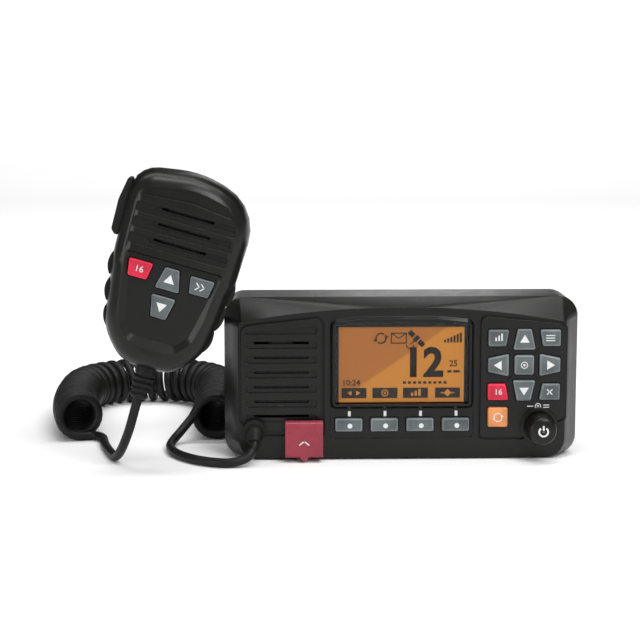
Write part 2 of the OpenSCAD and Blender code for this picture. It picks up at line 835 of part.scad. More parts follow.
module chassis() {
    color(cast_grey)
    difference() {
        union() {
            slab(flange_y, flange_t)
            polygon(rounded(rect(-half_w + flange_inset, half_w - flange_inset, 0, flange_top,
                                 corner_r - 2)));
            box([-chassis_half_w, flange_y, 0], [chassis_half_w, total_depth, chassis_h]);
        }
        box([-chassis_half_w + chassis_wall + fin_depth - 2, flange_y - 1, chassis_wall + 2],
            [chassis_half_w - chassis_wall - fin_depth + 2, total_depth - chassis_wall,
             chassis_h - fin_depth - chassis_wall]);
        cooling_grooves();
        screw_cores(screw_hole_r, flange_y - 1, flange_t + 2);
        screw_cores(screw_head_r + slack, chassis_y, total_depth);
        for (side = [-1, 1])
            bar(side * chassis_half_w - 10, bracket_y, bracket_z, 4, 20);
        rod(socket_x, total_depth - chassis_wall - 1, socket_z, 6.4, chassis_wall + 2, round_fn);
        rod(-socket_x, total_depth - chassis_wall - 1, socket_z - 12, 6, chassis_wall + 2, round_fn);
        for (y = hanger_screw_y)
            bar(-chassis_half_w - 1, y, (tab_low + tab_high) / 2, hanger_screw_r, 12);
    }
    color(cast_grey)
    for (x = [-board_post_x, board_post_x], y = board_post_y)
        translate([x, y, chassis_wall])
        difference() {
            cylinder(r = board_post_r, h = board_z - chassis_wall, $fn = hole_fn);
            translate([0, 0, 4]) cylinder(r = board_hole_r - 0.2, h = board_z, $fn = hole_fn);
        }
}

module side_inserts() {
    color("#b08d4c")
    for (side = [-1, 1])
        difference() {
            bar(side > 0 ? chassis_half_w - 8 : -chassis_half_w, bracket_y, bracket_z, 4, 8);
            bar(side * chassis_half_w - 10, bracket_y, bracket_z, bracket_thread_r, 20);
        }
}

module bezel_screws() {
    color(steel)
    for (p = bezel_screw_at) {
        rod(p[0], flange_y - 12, p[1], screw_core_r, 12 + flange_t + skin, hole_fn);
        rod(p[0], chassis_y, p[1], screw_head_r, 2, hole_fn);
    }
}

// Coaxial socket with a UHF-size threaded sleeve
module antenna_socket() {
    color(steel)
    difference() {
        union() {
            box([socket_x - 12.7, total_depth, socket_z - 12.7],
                [socket_x + 12.7, total_depth + 2, socket_z + 12.7]);
            rod(socket_x, total_depth - chassis_wall, socket_z, 6.3, chassis_wall + skin);
            rod(socket_x, total_depth + 2 - skin, socket_z, 7.9, 17);
        }
        rod(socket_x, total_depth + 8, socket_z, 6, 12);
        rod(socket_x, total_depth + 2, socket_z, 1.9, 8, hole_fn);
        for (dx = [-9.2, 9.2], dz = [-9.2, 9.2])
            rod(socket_x + dx, total_depth - 1, socket_z + dz, 1.6, 4, hole_fn);
    }
}

module power_gland() {
    x = -socket_x;
    z = socket_z - 12;
    color(rubber_black)
    difference() {
        union() {
            rod(x, total_depth - chassis_wall - 2.4, z, 8, 2.4);
            rod(x, total_depth - chassis_wall - skin, z, 5.9, chassis_wall + 2 * skin);
            rod(x, total_depth, z, 8.6, 3);
            rod(x, total_depth + 3 - skin, z, 6.4, 9);
        }
        rod(x, total_depth - 12, z, 3.2, 30, hole_fn);
    }
}

// ---------- knob ----------

module encoder_body() {
    body_y = board_y + board_t;
    color(steel)
    difference() {
        union() {
            box([knob_x - 6, body_y, knob_z - 6.2], [knob_x + 6, body_y + 7, knob_z + 6.2]);
            rod(knob_x, front_wall + 0.4, knob_z, 5.8, body_y - front_wall - 0.4 + skin);
        }
        rod(knob_x, front_wall, knob_z, rotor_r + running_fit, body_y - front_wall + 5);
    }
}

module encoder_rotor() {
    color("#c7c8ca")
    difference() {
        rod(knob_x, front_wall + 0.6, knob_z, rotor_r, board_y + board_t - front_wall + 3.6);
        rod(knob_x, front_wall, knob_z, shaft_d / 2 + running_fit, 30);
    }
}

module encoder_shaft() {
    color(steel)
    difference() {
        rod(knob_x, -knob_proud + 3, knob_z, shaft_d / 2, knob_proud - 3 + board_y + board_t + 2.6);
        box([knob_x - 5, -knob_proud + 2, knob_z + shaft_d / 2 - 1.2], [knob_x + 5, -3, knob_z + 5]);
    }
}

module volume_knob() {
    r = knob_d / 2;
    base = knob_push + 0.2 - knob_pocket_y;
    color(plastic_black)
    translate([knob_x, 0, knob_z])
    rotate([90, 0, 0])
    difference() {
        rotate_extrude($fn = 96)
        polygon(concat([[0, base], [r - 1, base], [r, base + 1]],
                       [for (a = [0:15:90]) [r - 0.2 - 2 * (1 - cos(a)), knob_proud - 3 + 2 * sin(a)]],
                       [[r - 5, knob_proud - 0.5], [0, knob_proud]]));
        difference() {
            translate([0, 0, base - 1]) cylinder(r = shaft_d / 2, h = knob_proud - 2 - base, $fn = hole_fn);
            translate([-5, shaft_d / 2 - 1.2, 3]) cube([10, 5, knob_proud]);
        }
    }
}

// ---------- distress cover ----------

module distress_cover() {
    left = cover_x - cover_w / 2;
    front = hinge_y - cover_barrel_r;
    color(cover_red)
    difference() {
        union() {
            bar(left, hinge_y, cover_hinge_z, cover_barrel_r, cover_w, round_fn);
            translate([left, 0, 0])
            rotate([90, 0, 90])
            linear_extrude(cover_w)
            polygon([[front, cover_hinge_z], [front, cover_bottom + 0.8], [front + 0.8, cover_bottom],
                     [-0.5, cover_bottom], [-0.5, cover_hinge_z - 2.4], [hinge_y, cover_hinge_z]]);
            rod(cover_x, front, cover_bottom + 0.6, 2.2, 2.2);
        }
        box([left + cover_wall, front + cover_wall, cover_bottom + cover_wall],
            [left + cover_w - cover_wall, 0, cover_hinge_z - 2.4]);
        bar(cover_x - boss_half_w - gap, hinge_y, cover_hinge_z, boss_r + 0.25, 2 * (boss_half_w + gap));
        box([cover_x - boss_half_w - gap, hinge_y, cover_hinge_z - 6],
            [cover_x + boss_half_w + gap, 0, cover_hinge_z + 4]);
        box([cover_x - boss_half_w - gap, hinge_y - 1.9, cover_hinge_z - 6],
            [cover_x + boss_half_w + gap, 0, cover_hinge_z]);
        box([left + cover_wall, hinge_y - 1.9, cover_hinge_z - 4],
            [cover_x, 0, cover_hinge_z]);
        bar(left + cover_wall, hinge_y, cover_hinge_z, boss_r, cover_w / 2 - cover_wall);
        bar(left - 1, hinge_y, cover_hinge_z, hinge_pin_d / 2 + hinge_fit, cover_w + 2);
    }
}

module distress_pin() {
    color(steel)
    bar(cover_x - cover_w / 2 + 0.1, hinge_y, cover_hinge_z, hinge_pin_d / 2, cover_w - 0.2);
}

// Torsion spring: a short helix round the pin, with its ends straight
module distress_spring() {
    wire = 0.5;
    turns = 3;
    step = 0.8;
    first = cover_x - boss_half_w - gap - turns * step - 0.5;
    coil_r = hinge_pin_d / 2 + 0.3 + wire / 2;
    rings = [for (i = [0:turns * curl_rings])
        let (a = 360 * i / curl_rings)
        [first + step * i / curl_rings, hinge_y + coil_r * cos(a), cover_hinge_z + coil_r * sin(a)]];
    out = [for (i = [0:turns * curl_rings]) let (a = 360 * i / curl_rings) [0, cos(a), sin(a)]];
    color(steel)
    tube(rings, out, wire / 2, curl_sides);
}

module distress_button() {
    color(key_red)
    union() {
        rod(cover_x, -button_proud, button_z, distress_button_d / 2, button_proud + front_wall + 0.4);
        rod(cover_x, front_wall + 0.4 - skin, button_z, distress_button_d / 2 + button_flange, 1);
    }
}

// ---------- gland of the cord ----------

module at_gland_outlet() {
    translate(gland_outlet)
    rotate([90 + gland_lean, 0, 0])
    children();
}

module cord_gland() {
    color(rubber_black)
    difference() {
        union() {
            rod(gland_x, -gland_proud, gland_z, gland_r, gland_proud);
            rod(gland_x, -skin, gland_z, gland_thread_r - 0.1, front_wall + 5);
            at_gland_outlet() cylinder(r1 = gland_ball_r, r2 = cord_r + 0.9, h = gland_len, $fn = round_fn);
            at_gland_outlet() sphere(r = gland_ball_r, $fn = round_fn);
        }
        rod(gland_x, 1, gland_z, cord_r, front_wall + 8, hole_fn);
    }
}

module gland_nut() {
    color(plastic_black)
    difference() {
        slab(front_wall + 0.2, 3.4) translate([gland_x, gland_z]) rotate(30) circle(r = 6.8, $fn = 6);
        rod(gland_x, front_wall, gland_z, gland_thread_r - 0.1, 5, hole_fn);
    }
}

// ---------- microphone ----------

module in_mic() {
    translate([mic_x, 0, mic_z])
    rotate([0, mic_tilt, 0])
    children();
}

module mic_slice(y, inset) {
    slab(y, skin) polygon(rounded(drawn_in(mic_pts, inset), 5));
}

module mic_front_form() {
    hull() {
        mic_slice(mic_split_y - skin, 0);
        mic_slice(mic_front_y + 9, 0.6);
        mic_slice(mic_front_y + 4.6, 2.2);
        mic_slice(mic_front_y + 1.6, 5);
        mic_slice(mic_front_y, 8.4);
    }
}

module mic_back_form() {
    hull() {
        mic_slice(mic_split_y, 0);
        mic_slice(mic_back_y - 6, 1.4);
        mic_slice(mic_back_y - 1.6, 5);
        mic_slice(mic_back_y - skin, 8.4);
    }
}

module mic_cavity(y0, y1) {
    slab(y0, y1 - y0) polygon(rounded(drawn_in(mic_pts, mic_wall + 1.5), 3));
}

// Keypad recess with sloping walls
module keypad_recess() {
    hull() {
        slab(mic_front_y - skin, skin) polygon(rounded(recess_pts));
        slab(mic_floor_y - skin, skin) polygon(rounded(recess_floor_pts));
    }
}

// One sound bar of the microphone: v is its middle
function bar_pts(v, half) = rect(-half, half, v - 2.8, v + 2.8, 2.7);

function crescent_pts() = [
    [-23, 33.6, 0.5], [0, 35.4, 60], [22, 33, 0.5], [17, 38, 3], [0, 42.4, 50], [-20, 38, 3]
];

module mic_sound_bars() {
    for (v = [12.2, 20, 27.6]) {
        slab(mic_front_y - 1, 1.9) polygon(rounded(bar_pts(v, 25.6)));
        slab(mic_front_y - 1, 2.9) polygon(rounded(rect(-16, 23.5, v - 0.3, v + 2.6, 1)));
        slab(mic_front_y - 1, 12) polygon(rounded(rect(-13, 13, v + 0.9, v + 2.1, 0.5)));
    }
    slab(mic_front_y - 1, 2.6) polygon(rounded(crescent_pts()));
}

// Pocket for the talk lever in the left edge of both shells
module talk_pocket() {
    box([-mic_half_w - 6, mic_split_y - talk_half_d - gap, talk_low - slack],
        [talk_stop, mic_split_y + talk_half_d + gap, talk_high + slack]);
}

// Cylinders of radius r on the axes of the microphone's screws, from y to y + t
module at_mic_screws(y, r, t) {
    for (p = mic_screw_at)
        rod(p[0], y, p[1], r, t, hole_fn);
}

module mic_front_shell() {
    color(plastic_black)
    in_mic()
    difference() {
        union() {
            difference() {
                mic_front_form();
                mic_cavity(mic_cavity_front, mic_split_y + 1);
            }
            at_mic_screws(mic_cavity_front - skin, mic_boss_r, mic_split_y - mic_cavity_front + skin);
        }
        at_mic_screws(mic_split_y - mic_screw_len - 1, mic_screw_r, mic_screw_len + 2);
        keypad_recess();
        mic_sound_bars();
        talk_pocket();
        grip_pockets();
        for (k = [0:3])
            slab(mic_front_y - 1, 12)
            polygon(rounded(drawn_in(mic_key_pts(k), -key_gap, mic_key_mid(k))));
        rod_down(boot_top + 4, boot_r_top + 0.1);
    }
}

// A bore along the microphone's axis that lets the boot through the lower wall
module rod_down(top, r) {
    translate([0, mic_split_y, boot_top - 6])
    cylinder(r = r, h = top - boot_top + 10, $fn = hole_fn);
}

module mic_back_shell() {
    color(plastic_black)
    in_mic()
    difference() {
        union() {
            difference() {
                mic_back_form();
                mic_cavity(mic_split_y - 1, mic_cavity_back);
            }
            at_mic_screws(mic_split_y + gap, mic_boss_r, mic_cavity_back - mic_split_y - gap + skin);
        }
        talk_pocket();
        grip_pockets();
        at_mic_screws(mic_split_y - 1, mic_screw_r + 0.1, mic_depth);
        at_mic_screws(mic_back_y - mic_screw_sink, mic_screw_head_r + gap, mic_screw_sink + 1);
        rod(0, mic_back_y - 5, button_v, 2, 6, hole_fn);
        rod_down(boot_top + 4, boot_r_top + 0.1);
    }
}

// Rubber grips in both lower edges, three rounded humps a side
module at_grips() {
    for (side = [0, 1], i = [0:2])
        mirror([side, 0, 0])
        translate([mic_half_w - grip_in[i], mic_split_y, grip_v[i]])
        rotate([0, grip_slant[i], 0])
        children();
}

module grip_block() {
    translate([-grip_sunk, -grip_pad[1] / 2, -grip_pad[2] / 2])
    cube(grip_pad);
}

module grip_pockets() {
    at_grips()
    grip_block();
}

module mic_grip() {
    color(rubber_black)
    in_mic()
    at_grips()
    intersection() {
        grip_block();
        translate([1.1 - grip_hump_r, grip_pad[1] / 2, 0])
        rotate([90, 0, 0])
        cylinder(r = grip_hump_r, h = grip_pad[1], $fn = round_fn);
    }
}

module mic_board() {
    color(board_green)
    in_mic()
    slab(mic_split_y - mic_board_gap, board_t)
    difference() {
        polygon(rounded(mic_board_pts));
        for (p = mic_screw_at)
            translate(p) circle(r = mic_boss_r + slack, $fn = hole_fn);
    }
}

module mic_speaker() {
    color(steel)
    in_mic()
    union() {
        rod(0, mic_cavity_front + gap, capsule_v, capsule_r, capsule_t);
        rod(0, mic_cavity_front + gap + capsule_t - 0.1, capsule_v, capsule_magnet_r, capsule_t + 0.2);
    }
}

// The four keys of the microphone: channel 16, up, scan, down
function mic_key_mid(k) = [[-15.8, -1.8], [-0.4, -2.8], [14.9, -2.4], [-0.9, -17]][k];
function mic_key_pts(k) =
    let (m = mic_key_mid(k))
    k == 0 ? [[m[0] - 4.8, m[1] - 4.2, 0.8], [m[0] + 4.6, m[1] - 4.2, 0.8], [m[0] + 6, m[1] + 4.2, 0.8],
              [m[0] - 6, m[1] + 4.2, 0.8]] :
    k == 1 ? [[m[0] - 6, m[1] - 5.4, 0.8], [m[0] + 6, m[1] - 5.4, 0.8], [m[0] + 3.5, m[1] + 5.4, 0.8],
              [m[0] - 3.5, m[1] + 5.4, 0.8]] :
    k == 2 ? [[m[0] - 4.7, m[1] - 4.2, 0.8], [m[0] + 4.7, m[1] - 4.2, 0.8], [m[0] + 6.1, m[1] + 4.2, 0.8],
              [m[0] - 6.1, m[1] + 4.2, 0.8]] :
             [[m[0] - 3.8, m[1] - 5.4, 0.8], [m[0] + 3.8, m[1] - 5.4, 0.8], [m[0] + 6, m[1] + 5.4, 0.8],
              [m[0] - 6, m[1] + 5.4, 0.8]];

module mic_key(k, tint = key_grey) {
    pts = mic_key_pts(k);
    mid = mic_key_mid(k);
    top = mic_floor_y - 1.5;
    color(tint)
    in_mic()
    union() {
        hull() {
            slab(top, skin) polygon(rounded(drawn_in(pts, 0.5, mid), 3));
            slab(top + 0.5, skin) polygon(rounded(pts, 3));
        }
        slab(top + 0.5, mic_cavity_front - top - 0.1) polygon(rounded(pts, 3));
        slab(mic_cavity_front + 0.4 - skin, 1) polygon(rounded(drawn_in(pts, -0.7, mid), 3));
    }
}

module talk_lever() {
    color(rubber_black)
    in_mic()
    slab(mic_split_y - talk_half_d, 2 * talk_half_d)
    polygon(rounded([[-talk_in, talk_low, 0.5], [-talk_in, talk_high - 1, 1], [-talk_out + 2, talk_high, 1.2],
                     [-talk_out, talk_high - 12, 12], [-talk_out + 0.4, talk_low + 2, 2],
                     [-talk_out + 2.4, talk_low, 1]]));
}

module hang_button() {
    head_y = plate_y + hanger_t + hang_gap;
    color(steel)
    in_mic()
    union() {
        rod(0, mic_back_y - 5, button_v, 2, 5.2, hole_fn);
        box([-hang_neck_w / 2, mic_back_y, button_v - hang_neck_w / 2],
            [hang_neck_w / 2, head_y + skin, button_v + hang_neck_w / 2]);
        rod(0, head_y, button_v, hang_head_r, 2.4);
    }
}

module mic_screws() {
    color(steel)
    in_mic() {
        at_mic_screws(mic_back_y - mic_screw_sink, mic_screw_head_r, mic_screw_sink - 1.4);
        at_mic_screws(mic_split_y - mic_screw_len, mic_screw_r,
                      mic_back_y - mic_screw_sink - mic_split_y + mic_screw_len + skin);
    }
}

module mic_boot() {
    ribs = 4;
    rib_step = (boot_len - 6) / ribs;
    color(rubber_black)
    in_mic()
    translate([0, mic_split_y, 0])
    rotate_extrude($fn = round_fn)
    polygon(concat(
        [[0, boot_top + 6], [0, boot_top - boot_len], [boot_r_end - 0.4, boot_top - boot_len]],
        [for (i = [0:ribs - 1])
            let (low = boot_top - boot_len + 0.4 + i * rib_step,
                 r = boot_r_end + (boot_r_top - boot_r_end) * i / ribs)
            each [[r - 0.3, low], [r + 0.5, low + 0.6], [r + 0.5, low + rib_step - 1.2],
                  [r - 0.3, low + rib_step - 0.5]]],
        [[boot_r_top, boot_top - 5], [boot_r_top, boot_top + 2], [boot_r_top - 1, boot_top + 2],
         [boot_r_top - 1, boot_top + 6]]));
}

// ---------- hanger ----------

// Plate with an open slot behind the microphone, and an arm to the side of the chassis
module mic_hanger() {
    slot_half = hang_neck_w / 2 + hang_gap;
    seat = button_v - hang_neck_w / 2;
    color(steel)
    difference() {
        union() {
            in_mic()
            slab(plate_y, hanger_t)
            difference() {
                polygon(rounded(rect(-13, 13, seat - 12, seat + 17, 3)));
                translate([-slot_half, seat]) square([2 * slot_half, 40]);
            }
            slab(plate_y, hanger_t)
            polygon([[arm_x - 9, arm_low], [arm_x + hanger_t, arm_low], [arm_x + hanger_t, mic_z - 6],
                     [arm_x - 9, mic_z - 4]]);
            box([arm_x, plate_y, arm_low], [arm_x + hanger_t, arm_y + hanger_t, arm_high]);
            slab(arm_y, hanger_t)
            polygon([[arm_x, arm_low], [-chassis_half_w - 10, arm_low], [-chassis_half_w - 5, tab_low + 4],
                     [-chassis_half_w, tab_low], [-chassis_half_w, tab_high],
                     [-chassis_half_w - 4, tab_high + 2], [-chassis_half_w - 10, arm_high],
                     [arm_x, arm_high]]);
            box([-chassis_half_w - hanger_t, arm_y, tab_low], [-chassis_half_w, arm_y + tab_len, tab_high]);
        }
        for (y = hanger_screw_y)
            bar(-chassis_half_w - 5, y, (tab_low + tab_high) / 2, hanger_screw_r + 0.2, 10);
    }
}

module hanger_screws() {
    color(steel)
    for (y = hanger_screw_y) {
        bar(-chassis_half_w - hanger_t - 2, y, (tab_low + tab_high) / 2, 3.6, 2);
        bar(-chassis_half_w - hanger_t - skin, y, (tab_low + tab_high) / 2, hanger_screw_r, hanger_t + 6);
    }
}

// ---------- cord ----------

// Rings of a tube: one point list per station, placed by its outward direction
function tube_rings(path, out, r, sides) =
    [for (i = [0:len(path) - 1])
        let (
            t = unit(path[min(i + 1, len(path) - 1)] - path[max(i - 1, 0)]),
            a = unit(out[i] - t * (out[i] * t)),
            b = cross(t, a)
        )
        for (k = [0:sides - 1]) path[i] + r * (cos(360 * k / sides) * a + sin(360 * k / sides) * b)];

function tube_faces(stations, sides) =
    concat(
        [for (k = [1:sides - 2]) [0, k, k + 1]],
        [for (i = [0:stations - 2], k = [0:sides - 1])
            let (p = i * sides + k, q = i * sides + (k + 1) % sides)
            each [[p, p + sides, q], [q, p + sides, q + sides]]],
        [for (k = [1:sides - 2]) let (e = (stations - 1) * sides) [e, e + k + 1, e + k]]
    );

module tube(path, out, r, sides) {
    polyhedron(tube_rings(path, out, r, sides), tube_faces(len(path), sides), convexity = 10);
}

// Outward directions carried along a route without twisting
function carried(path, first) =
    [for (i = 0, n = first; i < len(path);
          i = i + 1,
          n = let (
                  k = min(i, len(path) - 1),
                  t = unit(path[min(k + 1, len(path) - 1)] - path[max(k - 1, 0)])
              ) unit(n - t * (n * t))) n];

// Middle line of the curly part, by distance s along it: [x, y, heading]
splay_x = coil_start[0] - coil_left_x;
splay_y = coil_splay_y - coil_start[1];
splay_r = (splay_x * splay_x + splay_y * splay_y) / (2 * splay_x);
splay_angle = asin(splay_y / splay_r);
splay_len = PI * splay_r * splay_angle / 180;
left_len = splay_len + coil_bend_y - coil_splay_y;
bend_len = PI * coil_bend_r;
right_len = coil_bend_y - coil_end_y;

function spine(s) =
    s < splay_len
        ? let (a = splay_angle * (1 - s / splay_len))
          [coil_left_x + splay_r * (1 - cos(a)), coil_splay_y - splay_r * sin(a), 90 + a] :
    s < left_len ? [coil_left_x, coil_splay_y + s - splay_len, 90] :
    s < left_len + bend_len
        ? let (a = 180 * (s - left_len) / bend_len)
          [coil_left_x + coil_bend_r * (1 - cos(a)), coil_bend_y + coil_bend_r * sin(a), 90 - a] :
          [coil_right_x, coil_bend_y - (s - left_len - bend_len), -90];

// Curls: how many each stretch takes, and how far along the line curl t lies
left_curls = left_len / curl_step;
bend_curls = bend_len / curl_step_bend;
right_curls = right_len / curl_step;
curl_start = -90;
curl_finish = 150;
whole_curls = floor(left_curls + bend_curls + right_curls - (curl_finish - curl_start) / 360);
curls = whole_curls + (curl_finish - curl_start) / 360;

function along(t) =
    t < left_curls ? t * curl_step :
    t < left_curls + bend_curls ? left_len + (t - left_curls) * curl_step_bend :
    left_len + bend_len + (t - left_curls - bend_curls) * curl_step;

function curl_out(t) =
    let (heading = spine(along(t))[2], a = curl_start + 360 * t)
    [-sin(heading) * cos(a), cos(heading) * cos(a), sin(a)];

function curl_point(t) =
    let (m = spine(along(t)))
    [m[0], m[1], coil_z] + curl_r * curl_out(t);

function curl_way(t) = unit(curl_point(t + 0.01) - curl_point(t - 0.01));

curl_stations = round(curls * curl_rings);
curl_t = [for (i = [0:curl_stations]) curls * i / curl_stations];
coil_in = curl_point(0) - cord_d * curl_way(0);
coil_out = curl_point(curls) + cord_d * curl_way(curls);
coil_path = concat([coil_in], [for (t = curl_t) curl_point(t)], [coil_out]);
coil_outward = concat([curl_out(0)], [for (t = curl_t) curl_out(t)], [curl_out(curls)]);

// Least gap from the curly tube to itself
coil_gap = min([for (i = [0:len(coil_path) - 1], k = [5:11])
    if (i + k < len(coil_path)) norm(coil_path[i + k] - coil_path[i])]) - cord_d;
coil_steps = [for (i = [1:len(coil_path) - 1]) norm(coil_path[i] - coil_path[i - 1])];
coil_length = coil_steps * [for (step = coil_steps) 1];
echo(coil_gap = coil_gap, curls = curls, coil_wire_length = coil_length);

// Where the cord leaves the boot of the microphone
boot_end_v = boot_top - boot_len;
boot_end = [mic_x + boot_end_v * sin(mic_tilt), mic_split_y, mic_z + boot_end_v * cos(mic_tilt)];
boot_way = [-sin(mic_tilt), 0, -cos(mic_tilt)];

// Where the cord leaves the gland
gland_way = [0, -cos(gland_lean), -sin(gland_lean)];
gland_end = gland_outlet + gland_len * gland_way;

// Routes of the two leads, chosen by hand
mic_route = [
    [-137, -18.5, 22], [-139.5, -15, 15], [-142, -10.5, 9], [-144.6, -5, 4.4],
    [-147, 1, cord_r], [-149.5, 9, cord_r], [-152.4, 20, cord_r], [-154.8, 31, cord_r],
    [-156, 38, cord_r], [-157, 44.2, cord_r], [-158.8, 48, cord_r], [-161, 50.2, cord_r]
];
radio_route = [
    [-77, -12.5, 6.6], [-80, -14.5, 4.2], [-86, -16, 2.6], [-94, -15, cord_r], [-103.5, -9.5, cord_r],
    [-111.5, -0.5, cord_r], [-117, 10, cord_r], [-119.6, 21, cord_r], [-119.8, 30, cord_r],
    [-118.4, 37, 3.4], [-115.4, 41.6, 6.2]
];
mic_lead_path = concat([boot_end, boot_end + 5 * boot_way], mic_route, [coil_in - 2 * curl_way(0), coil_in]);
radio_lead_path = concat([gland_end, gland_end + 3 * gland_way], radio_route,
                         [coil_out + 2 * curl_way(curls), coil_out]);

module cord_lead_mic() {
    color(rubber_black)
    tube(mic_lead_path, carried(mic_lead_path, [0, 1, 0]), cord_r, lead_sides);
}

module cord_coil() {
    color(rubber_black)
    tube(coil_path, coil_outward, cord_r, curl_sides);
}

module cord_lead_radio() {
    color(rubber_black)
    tube(radio_lead_path, carried(radio_lead_path, [1, 0, 0]), cord_r, lead_sides);
}

// ---------- assembly ----------

front_bezel();
lcd_frame();
display_window();
lcd_module();
speaker_mesh();
speaker_frame();
speaker_cone();
keypad_sheet();
front_board();
front_gasket();
chassis();
main_board();
shield_can();
ribbon_cable();
antenna_socket();
power_gland();
side_inserts();
bezel_screws();
cord_gland();
gland_nut();
encoder_body();
encoder_rotor();
encoder_shaft();
volume_knob();
distress_cover();
distress_pin();
distress_spring();
distress_button();
corner_key(-1, 1);  // key_power_level
corner_key(0, 1);  // key_up
corner_key(1, 1);  // key_menu
middle_key(-1);  // key_left
middle_key(0);  // key_enter
middle_key(1);  // key_right
corner_key(-1, -1, key_red);  // key_channel_16
corner_key(0, -1);  // key_down
corner_key(1, -1);  // key_clear
call_key();  // key_call
soft_key(0);  // soft_key_1
soft_key(1);  // soft_key_2
soft_key(2);  // soft_key_3
soft_key(3);  // soft_key_4
mic_front_shell();
mic_back_shell();
mic_grip();
mic_board();
mic_speaker();
mic_key(0, key_red);  // mic_key_16
mic_key(1);  // mic_key_up
mic_key(2);  // mic_key_scan
mic_key(3);  // mic_key_down
talk_lever();
hang_button();
mic_screws();
mic_boot();
mic_hanger();
hanger_screws();
cord_lead_mic();
cord_coil();
cord_lead_radio();
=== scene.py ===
import json
import math

import bpy
from mathutils import Matrix, Vector

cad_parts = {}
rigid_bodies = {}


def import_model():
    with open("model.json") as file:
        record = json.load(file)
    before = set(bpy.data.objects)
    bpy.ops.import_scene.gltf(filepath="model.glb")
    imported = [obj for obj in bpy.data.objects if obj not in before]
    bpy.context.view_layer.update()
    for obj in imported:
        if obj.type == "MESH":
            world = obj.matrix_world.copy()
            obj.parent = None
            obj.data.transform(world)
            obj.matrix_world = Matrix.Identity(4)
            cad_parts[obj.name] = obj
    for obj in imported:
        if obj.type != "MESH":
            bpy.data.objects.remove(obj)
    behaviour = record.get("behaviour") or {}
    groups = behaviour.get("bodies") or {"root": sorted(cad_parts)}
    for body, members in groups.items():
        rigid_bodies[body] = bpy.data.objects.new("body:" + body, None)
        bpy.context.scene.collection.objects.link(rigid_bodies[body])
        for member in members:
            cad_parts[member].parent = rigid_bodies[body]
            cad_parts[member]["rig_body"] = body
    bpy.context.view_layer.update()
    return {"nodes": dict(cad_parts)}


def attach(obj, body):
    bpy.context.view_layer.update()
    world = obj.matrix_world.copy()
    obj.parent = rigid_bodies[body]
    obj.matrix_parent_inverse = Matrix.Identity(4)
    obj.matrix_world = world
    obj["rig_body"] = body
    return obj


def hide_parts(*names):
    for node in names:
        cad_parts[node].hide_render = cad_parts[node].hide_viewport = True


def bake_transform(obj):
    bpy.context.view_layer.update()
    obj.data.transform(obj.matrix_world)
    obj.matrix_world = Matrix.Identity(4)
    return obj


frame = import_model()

bl_info = {
    "name": "Marine radio",
    "version": (1, 0, 0),
    "blender": (4, 5, 0),
    "location": "3D View > Sidebar > Marine radio",
    "description": "A fixed-mount marine radio with a fist microphone on a curly cord",
    "category": "Object",
}

MM = 0.001

# The face plane is y = 0 and looks along -Y, and the underside is z = 0. Places and sizes are in millimetres,
# unless a comment says metres.
FACE_Y = 0.0
TRAY_Y = 0.6
KEY_Y = -1.9
COVER_FRONT_Y = -7.2
KNOB = (70.0, 17.0)
KNOB_FRONT = 16.0
# The knob's front falls away from its middle by this much, out to this radius
KNOB_FALL, KNOB_FALL_R = 0.5, 2.2
KEYS_MID = (61.8, 48.8)
KEY_PITCH = 13.15
CORNER_RISE = 13.9
SOFT_X = [-0.2 + (i - 1.5) * 18.2 for i in range(4)]
SOFT_Z = 18.2

# Edge rounding of the display's window, in metres
WINDOW_EDGE = 0.1 * MM

# A print's front stands this far out from the face that it is on
PRINT = 0.06

# The microphone hangs with a lean; its own frame has v = 0 at its middle
MIC_X, MIC_Z, MIC_TILT = -114.3, 99.9, 16.3
TILT = math.radians(MIC_TILT)
MIC_SPLIT_Y = -19.5
MIC_KEY_Y = -36.5
MIC_FRONT_Y, MIC_FLOOR_Y = -37.0, -35.0
MIC_RECESS_TOP_V = 7.0

# A point closer than this to a plane lies on it
ON_PLANE = 0.02

# Edges with a turn above this many degrees are sharp
SHARP = 35

# In copies of CAD meshes, points closer than WELD metres become one, and so do faces at less than FLAT
# radians to each other
WELD = 0.002 * MM
FLAT = math.radians(0.6)


# ---------- colours ----------

def tint(code):
    """Linear red, green and blue of a colour written as on a screen."""
    parts = [int(code[i:i + 2], 16) / 255 for i in (1, 3, 5)]
    return tuple(c / 12.92 if c <= 0.04045 else ((c + 0.055) / 1.055) ** 2.4 for c in parts)


def colour(name, what, code):
    return bpy.props.FloatVectorProperty(name=name, description=what, subtype="COLOR", size=3,
                                         min=0.0, max=1.0, default=tint(code))


def length(name, what, mm, low=0.0, high=1000.0):
    return bpy.props.FloatProperty(name=name, description=what, unit="LENGTH", default=mm * MM,
                                   min=low * MM, max=high * MM)


class RadioColours(bpy.types.PropertyGroup):
    """Colours of the radio's finishes."""
    housing: colour("Housing", "Moulded black plastic of the housing", "#121110")
    rubber: colour("Rubber", "Black rubber of the grips, the boot and the cord", "#0e0e0d")
    keys: colour("Keys", "Grey silicone of the keys", "#52585a")
    red_keys: colour("Channel 16 keys", "Red silicone of the channel 16 keys", "#ac2138")
    call_key: colour("Call key", "Orange silicone of the call key", "#c07c4c")
    cover: colour("Distress cover", "Red translucent plastic of the distress cover", "#85303c")
    legends: colour("Legends", "White paint of the legends", "#d4d7d6")
    backlight: colour("Backlight", "Amber light of the display", "#c07c20")
    # The display's dim side is half of a painted reflection, split off along a slanting line
    backlight_reflection_dark_side: colour("Backlight, dim side", "Amber light where the display is dimmer", "#a56318")
    ink: colour("Display signs", "Dark signs of the display", "#17110a")
    casting: colour("Casting", "Black paint of the die-cast chassis", "#1b1c1c")


